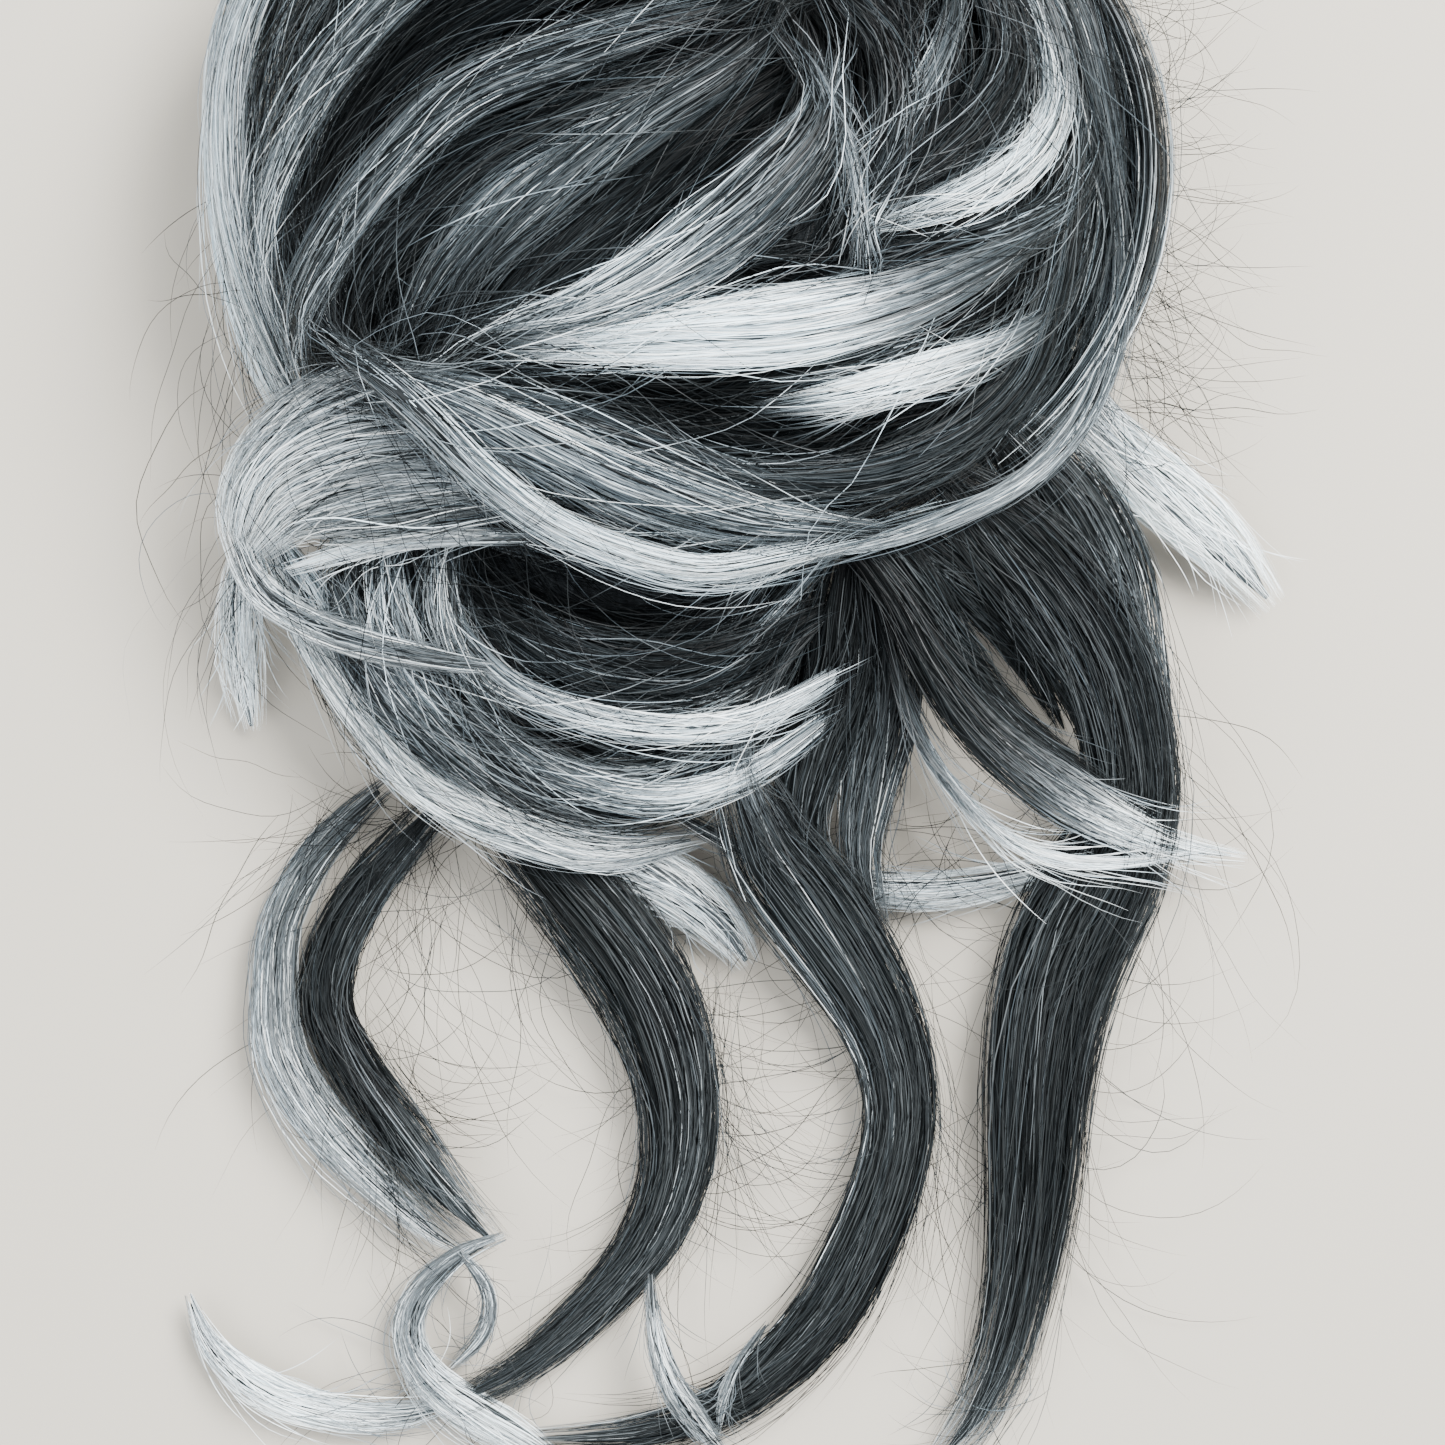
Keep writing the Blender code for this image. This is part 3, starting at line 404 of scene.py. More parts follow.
def smooth_path(stations, count, measured):
    """Catmull-Rom curve through the stations, evenly spaced by the length of the first columns."""
    rows = np.array(stations, float)
    before = np.vstack((2 * rows[0] - rows[1], rows[:-2]))
    after = np.vstack((rows[2:], 2 * rows[-1] - rows[-2]))
    start = rows[:-1]
    end = rows[1:]
    fine = 16
    spans = []
    for k in range(fine):
        t = k / fine
        spans.append(0.5 * (2 * start + (end - before) * t
                            + (2 * before - 5 * start + 4 * end - after) * t * t
                            + (3 * start - before - 3 * end + after) * t * t * t))
    dense = np.stack(spans, axis=1).reshape(-1, rows.shape[1])
    dense = np.vstack((dense, rows[-1:]))
    steps = np.linalg.norm(np.diff(dense[:, :measured], axis=0), axis=1)
    lengths = np.concatenate(([0.0], np.cumsum(steps)))
    goals = np.linspace(0, lengths[-1], count)
    return np.stack([np.interp(goals, lengths, dense[:, k]) for k in range(rows.shape[1])], axis=1)


Route = namedtuple("Route", "point side normal half_width half_depth shade length")


def route_along(points, outward, half_width, half_depth, shades):
    """A bundle's middle line with its frame, its section and its shade along it."""
    along = unit(np.gradient(points, axis=0))
    side = unit(np.cross(along, outward))
    normal = np.cross(side, along)
    shade = np.interp(np.linspace(0, 1, len(points)), np.linspace(0, 1, len(shades)), shades)
    length = np.linalg.norm(np.diff(points, axis=0), axis=1).sum()
    return Route(points, side, normal, half_width, half_depth, shade, length)


def wound_route(bundle):
    """Route of a bundle wound on the mounds: its ends dive into the hair under it."""
    path = smooth_path(bundle.path, ROUTE_SAMPLES, 2)
    points, outward = heap_at(path[:, 0], path[:, 1])
    half_width = np.maximum(path[:, 2], 0.004) * BUN_RADIUS
    half_depth = np.minimum(half_width * bundle.plump, LOCK_DEPTH / 2)
    t = np.linspace(0, 1, ROUTE_SAMPLES)
    dive = np.clip(np.minimum(t, 1 - t) / 0.22, 0, 1)
    height = 1.0 * MM + half_depth + (0.3 + bundle.lift) * MM * np.sin(dive * math.pi / 2)
    points = points + outward * height[:, None]
    points[:, :2] = path[:, :2] * BUN_RADIUS - outward[:, :2] * half_depth[:, None] * 0.5
    return route_along(points, outward, half_width, half_depth, bundle.shades)


def free_route(bundle):
    """Route of a free bundle, which comes no lower than the surface that the bun lies on."""
    rows = np.array(bundle.path, float)
    placed = np.stack((rows[:, 0] * BUN_RADIUS, up_from_middle(rows[:, 1]), rows[:, 2] * MM,
                       rows[:, 3] * BUN_RADIUS), axis=1)
    path = smooth_path(placed, ROUTE_SAMPLES, 3)
    half_width = np.maximum(path[:, 3], 0.25 * MM)
    half_depth = np.minimum(half_width * bundle.plump, 3.0 * MM)
    points = path[:, :3].copy()
    points[:, 2] = np.maximum(points[:, 2], half_depth + 0.4 * MM)
    outward = np.tile((0.0, 0.0, 1.0), (len(points), 1))
    return route_along(points, outward, half_width, half_depth, bundle.shades)


def waist_route(waist):
    """Route of a bundle round the bun's waist."""
    radius, _, _ = core_sizes(MOUNDS[0])
    t = np.linspace(0, 1, ROUTE_SAMPLES)
    turn = np.radians(waist.start + (waist.stop - waist.start) * t)
    ends = waist.out_start + (waist.out_stop - waist.out_start) * t
    bow = (waist.out_middle - (waist.out_start + waist.out_stop) / 2) * np.sin(math.pi * t)
    reach = radius + LOCK_DEPTH / 2 + (ends + bow) * BUN_RADIUS
    outward = around(turn, 1.0, np.zeros_like(turn))
    points = outward * reach[:, None]
    points[:, 2] = BUN_WAIST
    swell = 0.45 + 0.55 * np.sin(math.pi * t)
    return route_along(points, outward, WAIST_HALF_WIDTH * swell, WAIST_HALF_DEPTH * (0.5 + 0.5 * swell),
                       waist.shades)


def on_route(values, t):
    """Values of a route at shares t of its length."""
    place = np.clip(t, 0, 1) * (len(values) - 1)
    low = np.minimum(place.astype(int), len(values) - 2)
    mix = place - low
    if values.ndim > 1:
        mix = mix[..., None]
    return values[low] * (1 - mix) + values[low + 1] * mix


def around(turn, reach, level):
    """Points round the bun's middle."""
    return np.stack((np.cos(turn) * reach, np.sin(turn) * reach, level), axis=-1)


def swings(rng, count, t, waves):
    """Slow random swings along strands, each of about plus or minus one."""
    total = np.zeros((count, t.shape[-1]))
    for wave in waves:
        phase = rng.random((count, 1))
        total += rng.normal(0, 1, (count, 1)) * np.sin(2 * math.pi * (wave * t + phase))
    return total / math.sqrt(len(waves))


Ribbons = namedtuple("Ribbons", "middle half shade tint")


def ribbons(rng, points, facing, width, shade, tilt):
    """Flat ribbons along strands: they face outward with some tilt, and taper to both ends."""
    count, rings = points.shape[:2]
    along = unit(np.gradient(points, axis=1))
    across = unit(np.cross(along, facing))
    lean = rng.normal(0, tilt, (count, 1, 1))
    out = unit(np.cross(across, along))
    across = across * np.cos(lean) + out * np.sin(lean)
    s = np.linspace(0, 1, rings)
    taper = np.minimum(1, 0.35 + s / 0.18 * 0.65) * np.minimum(1, 0.12 + (1 - s) / 0.30 * 0.88)
    half = across * (width * taper / 2)[..., None]
    return Ribbons(points, half, np.clip(shade, 0.02, 0.985), rng.random(count))


def strand_shades(rng, count, base, dark, light):
    """Shades of strands: most are near the base, and some are odd dark or light fibres."""
    shade = base + rng.normal(0, 1, (count, 1)) * (0.04 + 0.05 * base)
    kind = rng.random((count, 1))
    shade = np.where(kind < dark, shade * 0.35, shade)
    lighter = shade + (0.08 + 0.28 * rng.random((count, 1))) * np.clip(0.30 + 1.8 * shade, 0, 1)
    lighter = np.minimum(lighter, 0.92)
    return np.where(kind > 1 - light, np.maximum(shade, lighter), shade)


def bundle_strands(rng, route, bundle):
    """Strands of one bundle: most run in clumps that wander slowly over its section."""
    mean_width = 2 * route.half_width.mean()
    count = max(30, int(THINNING * bundle.layers * mean_width / STRAND_WIDTH * COVER))
    segments = int(np.clip(round(route.length / SEGMENT), 9, 16))
    clumps = max(4, count // CLUMP)
    start = 0.24 * rng.random((count, 1)) ** 1.5
    stop = 1 - 0.30 * rng.random((count, 1)) ** 1.5
    t = start + (stop - start) * np.linspace(0, 1, segments + 1)
    turn = rng.uniform(-0.25, 1.25, clumps) * math.pi
    far = np.sqrt(rng.uniform(0.15, 1.0, clumps))
    which = rng.integers(clumps, size=count)
    loose = rng.random(count) < LOOSE
    a = far[which] * np.cos(turn[which])
    b = far[which] * np.sin(turn[which])
    own_turn = rng.uniform(-0.25, 1.25, count) * math.pi
    own_far = np.sqrt(rng.uniform(0.3, 1.1, count))
    a = np.where(loose, own_far * np.cos(own_turn), a)[:, None]
    b = np.where(loose, own_far * np.sin(own_turn), b)[:, None]
    grid = np.linspace(0, 1, SWAY_SAMPLES)
    narrow = min(1.0, 3.5 * MM / route.half_width.max())
    sway_a = swings(rng, clumps, grid, (0.6, 1.3)) * 0.16 * narrow
    sway_b = swings(rng, clumps, grid, (0.7, 1.5)) * 0.12
    place = np.clip(t, 0, 1) * (SWAY_SAMPLES - 1)
    low = np.minimum(place.astype(int), SWAY_SAMPLES - 2)
    mix = place - low
    rows = which[:, None]
    drift_a = sway_a[rows, low] * (1 - mix) + sway_a[rows, low + 1] * mix
    drift_b = sway_b[rows, low] * (1 - mix) + sway_b[rows, low + 1] * mix
    a = a + drift_a + rng.normal(0, 0.09, (count, 1)) + swings(rng, count, t, (1.0, 2.3)) * 0.05 * narrow
    b = b + drift_b + rng.normal(0, 0.08, (count, 1)) + swings(rng, count, t, (1.1, 2.1)) * 0.05
    size = np.maximum(1.0, np.hypot(a, b) / 1.08)
    stray = np.where(rng.random((count, 1)) < STRAY, rng.uniform(0.2, 1.0, (count, 1)), 0.12)
    a = a / size + stray * rng.normal(0, 0.8, (count, 1)) * t ** 2 * narrow
    a = a + stray * swings(rng, count, t, (1.2, 2.0)) * 0.35 * narrow
    b = b / size + stray * np.abs(rng.normal(0, 0.9, (count, 1))) * t
    side = on_route(route.side, t)
    normal = on_route(route.normal, t)
    width = on_route(route.half_width, t)[..., None]
    depth = on_route(route.half_depth, t)[..., None]
    points = on_route(route.point, t) + side * (a[..., None] * width) + normal * (b[..., None] * depth)
    facing = side * (a[..., None] * 0.7) + normal * (np.maximum(b[..., None], 0) * 0.8 + 0.5)
    # Painted light: lean makes one edge lighter and the other darker, and strands on the bundle's outer
    # side are painted a little lighter, as painted light on its top.
    base = on_route(route.shade, t) + bundle.lean * a * 0.5 + 0.05 * b
    tuft = rng.normal(0, 1, clumps)[which][:, None] * np.clip(0.11 - 0.08 * base, 0.045, 0.10)
    shade = strand_shades(rng, count, base - 0.04 * (1 - base) + tuft, bundle.dark, bundle.light)
    thick = STRAND_WIDTH * rng.uniform(0.7, 1.25, (count, 1))
    return ribbons(rng, points, facing, thick, shade, 0.45)


def loose_strands(rng, route, astray_by):
    """Single hairs that leave a bundle's side and wander off a little way."""
    count = max(8, int(THINNING * (10 + route.length * 0.40 * astray_by / MM / MM)))
    segments = 12
    s = np.linspace(0, 1, segments + 1)
    reach = rng.uniform(0.18, 0.5, (count, 1))
    t = rng.uniform(0, 1, (count, 1)) * (1 - reach) + reach * s
    astray = rng.normal(0, astray_by, (count, 1)) * s ** 1.5 + swings(rng, count, t, (1.5, 3.0)) * 0.4 * MM
    across = on_route(route.half_width, t) * rng.uniform(-1.05, 1.05, (count, 1)) + astray
    above = on_route(route.half_depth, t) * rng.uniform(0.4, 1.0, (count, 1))
    rise = rng.uniform(0.1, 2.2, (count, 1)) * MM
    above = above + rise * np.sin(math.pi * s * rng.uniform(0.5, 1.0, (count, 1)))
    normal = on_route(route.normal, t)
    side = on_route(route.side, t)
    points = on_route(route.point, t) + side * across[..., None] + normal * above[..., None]
    own = rng.uniform(0.08, 0.80, (count, 1)) ** 1.3
    keep = 0.4 + 0.45 * on_route(route.shade, t)
    shade = own * (1 - keep) + on_route(route.shade, t) * keep
    return ribbons(rng, points, normal, FLYAWAY_WIDTH * rng.uniform(0.8, 1.3, (count, 1)), shade, 0.5)


Body = namedtuple("Body", "rings shade")
BODY_SIDES = 16


def bundle_body(rng, route, share, painted_shade_factor):
    """Ribbed inner body of a bundle, painted darker than its strands as painted shade in the gaps
    between them, and whose lengthwise ribs differ a little in shade.
    """
    t = np.linspace(0.03, 0.97, 22)
    turn = np.linspace(0, 2 * math.pi, BODY_SIDES, endpoint=False)
    rib = share * (1 + 0.06 * np.where(np.arange(BODY_SIDES) % 2, 1, -1))
    ends = np.sin(math.pi * np.clip(np.minimum(t, (1 - t) * 0.7) / 0.16, 0, 1) / 2) * 0.95 + 0.05
    width = on_route(route.half_width, t) * ends
    depth = on_route(route.half_depth, t) * ends
    centre = on_route(route.point, t)
    side = on_route(route.side, t)
    normal = on_route(route.normal, t)
    rings = (centre[:, None] + side[:, None] * (width[:, None] * rib * np.cos(turn))[..., None]
             + normal[:, None] * (depth[:, None] * rib * np.sin(turn))[..., None])
    # Painted shade: the body is darker than the strands over it.
    shade = (on_route(route.shade, t) * painted_shade_factor)[:, None] + rng.normal(0, 0.05, BODY_SIDES)[None]
    return Body(rings, np.clip(shade, 0.02, 0.95))


def stepped(shade):
    """Shades with a small step between neighbours, so that no face has zero width on the map."""
    steps = np.diff(shade, axis=1)
    steps = np.where(np.abs(steps) < 0.002, np.where(steps < 0, -0.002, 0.002), steps)
    return np.concatenate((shade[:, :1], shade[:, :1] + np.cumsum(steps, axis=1)), axis=1)


def hair_mesh(name, strands, bodies):
    """One mesh of ribbons and inner bodies, whose map holds shade across and tint up."""
    points = []
    corners = []
    maps = []
    total = 0
    for part in strands:
        count, rings = part.middle.shape[:2]
        both = np.stack((part.middle - part.half, part.middle + part.half), axis=2)
        points.append(both.reshape(-1, 3))
        first = total + (np.arange(count)[:, None] * rings + np.arange(rings - 1)[None]) * 2
        corners.append(np.stack((first, first + 1, first + 3, first + 2), axis=-1).reshape(-1, 4))
        u = stepped(part.shade)
        low = np.repeat(part.tint[:, None] * 0.98 + 0.008, rings - 1, axis=1)
        high = low + MAP_STEP
        near = u[:, :-1]
        after = u[:, 1:]
        maps.append(np.stack((near, low, near, high, after, high, after, low), axis=-1).reshape(-1, 4, 2))
        total += count * rings * 2
    for part in bodies:
        rings, sides = part.rings.shape[:2]
        points.append(part.rings.reshape(-1, 3))
        here = np.arange(sides)
        there = (here + 1) % sides
        row = np.arange(rings - 1)[:, None] * sides + total
        corners.append(np.stack((row + here, row + there, row + sides + there, row + sides + here),
                                axis=-1).reshape(-1, 4))
        u = stepped(part.shade.T).T
        low = np.full((rings - 1, sides), 0.5)
        high = low + MAP_STEP
        maps.append(np.stack((u[:-1], low, u[:-1], high, u[1:], high, u[1:], low),
                             axis=-1).reshape(-1, 4, 2))
        total += rings * sides
        tips = np.stack((part.rings[0].mean(axis=0), part.rings[-1].mean(axis=0)))
        points.append(tips)
        for end, ring in ((0, 0), (1, rings - 1)):
            base = total - rings * sides + ring * sides
            tip = np.full(sides // 2, total + end)
            even = np.arange(0, sides, 2)
            after = base + (even + 2) % sides
            corners.append(np.stack((base + even, base + even + 1, after, tip), axis=-1))
            tone = part.shade[ring, even]
            flat = np.full(sides // 2, 0.5)
            lighter = tone + MAP_STEP
            raised = flat + MAP_STEP
            maps.append(np.stack((tone, flat, lighter, flat, lighter, raised, tone, raised),
                                 axis=-1).reshape(-1, 4, 2))
        total += 2
    points = np.concatenate(points) + MIDDLE
    corners = np.concatenate(corners)
    maps = np.clip(np.concatenate(maps), 0.001, 0.999)
    mesh = bpy.data.meshes.new(name)
    mesh.vertices.add(len(points))
    mesh.vertices.foreach_set("co", points.astype(np.float32).ravel())
    mesh.loops.add(corners.size)
    mesh.loops.foreach_set("vertex_index", corners.astype(np.int32).ravel())
    mesh.polygons.add(len(corners))
    mesh.polygons.foreach_set("loop_start", np.arange(0, corners.size, 4, dtype=np.int32))
    mesh.update(calc_edges=True)
    for title in ("hair", "OFBake"):
        layer = mesh.uv_layers.new(name=title)
        layer.data.foreach_set("uv", maps.astype(np.float32).ravel())
    mesh.shade_smooth()
    return mesh


def link(tree, source, output, target, socket):
    tree.links.new(source.outputs[output], target.inputs[socket])


def add_object(name, data):
    """An object in the scene."""
    thing = bpy.data.objects.new(name, data)
    bpy.context.scene.collection.objects.link(thing)
    return thing


def set_inputs(node, values):
    """Sets a node's inputs by name."""
    for socket, value in values.items():
        node.inputs[socket].default_value = value
    return node


def new_material(name):
    """A material with its nodes and its shader."""
    mat = bpy.data.materials.new(name)
    mat.use_nodes = True
    return mat, mat.node_tree, mat.node_tree.nodes["Principled BSDF"]


def ramp(nodes, stops):
    """Colour ramp with the given (place, colour) stops."""
    node = nodes.new("ShaderNodeValToRGB")
    elements = node.color_ramp.elements
    while len(elements) > 1:
        elements.remove(elements[-1])
    elements[0].position = stops[0][0]
    elements[0].color = (*stops[0][1], 1.0)
    for place, color in stops[1:]:
        element = elements.new(place)
        element.color = (*color, 1.0)
    return node


HAIR_STOPS = (
    (0.00, (0.0007, 0.0010, 0.0012)),
    (0.20, (0.0040, 0.0050, 0.0055)),
    (0.40, (0.0172, 0.0200, 0.0215)),
    (0.60, (0.0510, 0.0595, 0.0650)),
    (0.80, (0.1680, 0.1920, 0.2080)),
    (1.00, (0.9000, 0.9700, 1.0000)),
)
TINT_STOPS = (
    (0.00, (0.82, 0.94, 1.00)),
    (0.45, (0.95, 0.99, 1.00)),
    (0.80, (1.00, 1.00, 0.97)),
    (1.00, (1.00, 0.98, 0.94)),
)


# The specular level of black hair, and a mix node's two colour inputs and its colour output
DARK_GLEAM = 0.03
MIX_A = 6
MIX_B = 7
MIX_RESULT = 2


def hair_material(name, roughness, gleam):
    """Hair: the map's shade picks the tone of each fibre along its length, and its tint the hue."""
    mat, tree, shader = new_material(name)
    nodes = tree.nodes
    place = nodes.new("ShaderNodeUVMap")
    place.uv_map = "hair"
    split = nodes.new("ShaderNodeSeparateXYZ")
    link(tree, place, "UV", split, "Vector")
    mix = nodes.new("ShaderNodeMix")
    mix.data_type = "RGBA"
    mix.blend_type = "MULTIPLY"
    set_inputs(mix, {"Factor": 1.0})
    for axis, stops, socket in (("X", HAIR_STOPS, MIX_A), ("Y", TINT_STOPS, MIX_B)):
        tone = ramp(nodes, stops)
        link(tree, split, axis, tone, "Fac")
        link(tree, tone, "Color", mix, socket)
    link(tree, mix, MIX_RESULT, shader, "Base Color")
    for axis, low, high, socket in (("Y", roughness - 0.06, roughness + 0.10, "Roughness"),
                                    ("X", DARK_GLEAM, gleam, "Specular IOR Level")):
        span = set_inputs(nodes.new("ShaderNodeMapRange"), {"To Min": low, "To Max": high})
        link(tree, split, axis, span, "Value")
        link(tree, span, "Result", shader, socket)
    return mat


def thread_material(name, stretch, streaks, stops, bump, finish):
    """Threads as streaks of noise that also raise the surface: each group of values goes to one node."""
    mat, tree, shader = new_material(name)
    nodes = tree.nodes
    place = nodes.new("ShaderNodeTexCoord")
    mapping = set_inputs(nodes.new("ShaderNodeMapping"), {"Scale": stretch})
    noise = set_inputs(nodes.new("ShaderNodeTexNoise"), streaks)
    tone = ramp(nodes, stops)
    raised = set_inputs(nodes.new("ShaderNodeBump"), bump)
    set_inputs(shader, finish)
    link(tree, place, "Object", mapping, "Vector")
    link(tree, mapping, "Vector", noise, "Vector")
    link(tree, noise, "Fac", tone, "Fac")
    link(tree, tone, "Color", shader, "Base Color")
    link(tree, noise, "Fac", raised, "Height")
    link(tree, raised, "Normal", shader, "Normal")
    return mat


def core_material():
    """Packed dark hair seen between the strands: fine streaks in near black, the dark hair's own tone
    deepened by painted shade.
    """
    return thread_material(
        "hair_core_painted_shade", (400, 90, 400), {"Scale": 3.0, "Detail": 4.0},
        ((0.30, (0.004, 0.005, 0.006)), (0.60, (0.022, 0.026, 0.029)), (0.80, (0.09, 0.10, 0.11))),
        {"Strength": 0.5, "Distance": 0.0004}, {"Roughness": 0.55, "Specular IOR Level": 0.06})


def elastic_material():
    """Covered elastic: dark thread, over the ring's ribs."""
    return thread_material(
        "elastic", (1, 1, 1), {"Scale": 2600.0, "Detail": 3.0},
        ((0.35, (0.010, 0.010, 0.011)), (0.65, (0.045, 0.045, 0.048))),
        {"Strength": 0.6, "Distance": 0.0002}, {"Roughness": 0.85})


HAIR = {
    "dark": hair_material("hair_dark", 0.42, 0.16),
    "grey": hair_material("hair_grey", 0.42, 0.18),
    "silver": hair_material("hair_silver", 0.40, 0.20),
    "pale": hair_material("hair_pale", 0.42, 0.22),
    "white": hair_material("hair_white", 0.38, 0.30),
}


def hair_piece(name, tone, strands, bodies, nodes):
    """Adds a piece of hair, which stands for the given CAD nodes."""
    mesh = hair_mesh(name, strands, bodies)
    mesh.materials.append(HAIR[tone])
    piece = add_object(name, mesh)
    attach(piece, "root")
    if nodes:
        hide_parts(*nodes)


def lock_pieces():
    """One piece for each lock of the CAD model, with the finer bundles that belong to it."""
    extra = {}
    for fine, router in ((FINE, wound_route), (FREE_FINE, free_route)):
        for bundle in fine:
            extra.setdefault(bundle.name, []).append((bundle, router(bundle)))
    for seed, (bundle, router) in enumerate([(item, wound_route) for item in WOUND]
                                            + [(item, free_route) for item in FREE]):
        rng = np.random.default_rng(LOCK_SEED + seed)
        plans = [(bundle, router(bundle))] + extra.get(bundle.name, [])
        strands = []
        bodies = []
        for plan, route in plans:
            strands.append(bundle_strands(rng, route, plan))
            strands.append(loose_strands(rng, route, (1.8 if router is wound_route else 3.0) * MM))
            bodies.append(bundle_body(rng, route, 0.58, 0.55))
        hue = 1.7 if router is wound_route else 0.6
        strands = [part._replace(tint=part.tint ** hue) for part in strands]
        hair_piece("hair_" + bundle.name, bundle.tone, strands, bodies, [bundle.name])
    for seed, waist in enumerate(WAIST):
        rng = np.random.default_rng(WAIST_SEED + seed)
        bundle = Bundle(waist.name, 0, WAIST_LAYERS, WAIST_DARK, WAIST_LIGHT, waist.shades, (),
                        waist.tone, 0, 0.0)
        route = waist_route(waist)
        hair_piece("hair_" + waist.name, waist.tone, [bundle_strands(rng, route, bundle)],
                   [bundle_body(rng, route, 0.62, 0.62)], [waist.name])


def flow_guides():
    """Samples of every wound bundle: place, doubled heading, half width and shade."""
    places = []
    headings = []
    widths = []
    shades = []
    for bundle in WOUND + FINE:
        path = smooth_path(bundle.path, GUIDE_SAMPLES, 2)
        step = unit(np.gradient(path[:, :2], axis=0))
        turn = np.arctan2(step[:, 1], step[:, 0])
        places.append(path[:, :2])
        headings.append(np.stack((np.cos(2 * turn), np.sin(2 * turn)), axis=1))
        widths.append(path[:, 2])
        shades.append(np.interp(np.linspace(0, 1, GUIDE_SAMPLES), np.linspace(0, 1, len(bundle.shades)),
                                bundle.shades))
    return [np.concatenate(column) for column in (places, headings, widths, shades)]


def flow_at(guides, place, heading):
    """Flow direction at places, taken the way that each strand is already heading."""
    spots, doubled, _, _ = guides
    gap = ((place[:, None] - spots[None]) ** 2).sum(axis=2)
    weight = 1 / (gap + GUIDE_REACH ** 2) ** 2
    mean = (weight[..., None] * doubled[None]).sum(axis=1)
    turn = np.arctan2(mean[:, 1], mean[:, 0]) / 2
    step = np.stack((np.cos(turn), np.sin(turn)), axis=1)
    sign = np.where((step * heading).sum(axis=1, keepdims=True) < 0, -1, 1)
    return step * sign, gap


def flow_strands(rng, count, lengths, stray, heights, width, painted_shade_drop, light):
    """Strands that follow the flow over the mounds, some way above their cores. Their tones are the
    nearest lock's made darker by a drop, and fade to near black away from the locks: painted shade
    under and between the locks.
    """
    guides = flow_guides()
    _, _, half_widths, tones = guides
    seeds = rng.uniform((-1.0, -1.65), (1.0, 1.0), (count * 3, 2))
    inside = (reach_on(MOUNDS[0], seeds[:, 0], seeds[:, 1]) < 0.98) | (
        reach_on(MOUNDS[1], seeds[:, 0], seeds[:, 1]) < 0.95)
    place = seeds[inside][:count]
    count = len(place)
    segments = FLOW_SEGMENTS
    step = rng.uniform(*lengths, (count, 1)) / segments
    heading = unit(rng.normal(0, 1, (count, 2)))
    bias = rng.normal(0, stray, (count, 1))
    track = [place]
    tone = []
    for k in range(segments + 1):
        flow, gap = flow_at(guides, place, heading)
        nearest = gap.argmin(axis=1)
        away = np.sqrt(gap[np.arange(count), nearest])
        # Painted shade: away from the locks the tone fades to near black.
        painted_gap_shade = np.clip((away - half_widths[nearest] * 0.8) / 0.06, 0, 1)
        tone.append(tones[nearest] * (1 - painted_gap_shade) + 0.12 * painted_gap_shade)
        heading = flow
        if k < segments:
            turned = flow + bias * np.stack((-flow[:, 1], flow[:, 0]), axis=1)
            place = place + unit(turned) * step
            track.append(place)
    track = np.stack(track, axis=1)
    tone = np.stack(tone, axis=1)
    tone[:, 1:-1] = (tone[:, :-2] + tone[:, 1:-1] + tone[:, 2:]) / 3
    outside = (reach_on(MOUNDS[0], track[..., 0], track[..., 1]) > 1.0) & (
        reach_on(MOUNDS[1], track[..., 0], track[..., 1]) > 1.0)
    keep = ~outside.any(axis=1)
    track = track[keep]
    tone = tone[keep]
    count = len(track)
    points, outward = heap_at(track[..., 0], track[..., 1])
    s = np.linspace(0, 1, segments + 1)
    height = rng.uniform(0, 1, (count, 1)) ** 1.4 * (heights[1] - heights[0]) + heights[0]
    height = height * (0.45 + 0.55 * np.sin(math.pi * s)) + 0.2 * MM * swings(rng, count, s, (1, 2))
    height = np.maximum(height, 0.2 * MM)
    points = points + outward * height[..., None]
    drawn = np.clip(height / (5 * MM), 0, 1)[..., None]
    points[..., :2] = points[..., :2] * (1 - drawn) + track * BUN_RADIUS * drawn
    tone = tone - painted_shade_drop + rng.normal(0, 0.08, (count, 1))
    shade = strand_shades(rng, count, tone, 0.30, light)
    thick = width * rng.uniform(0.7, 1.3, (count, 1))
    return ribbons(rng, points, outward, thick, shade, 0.5)


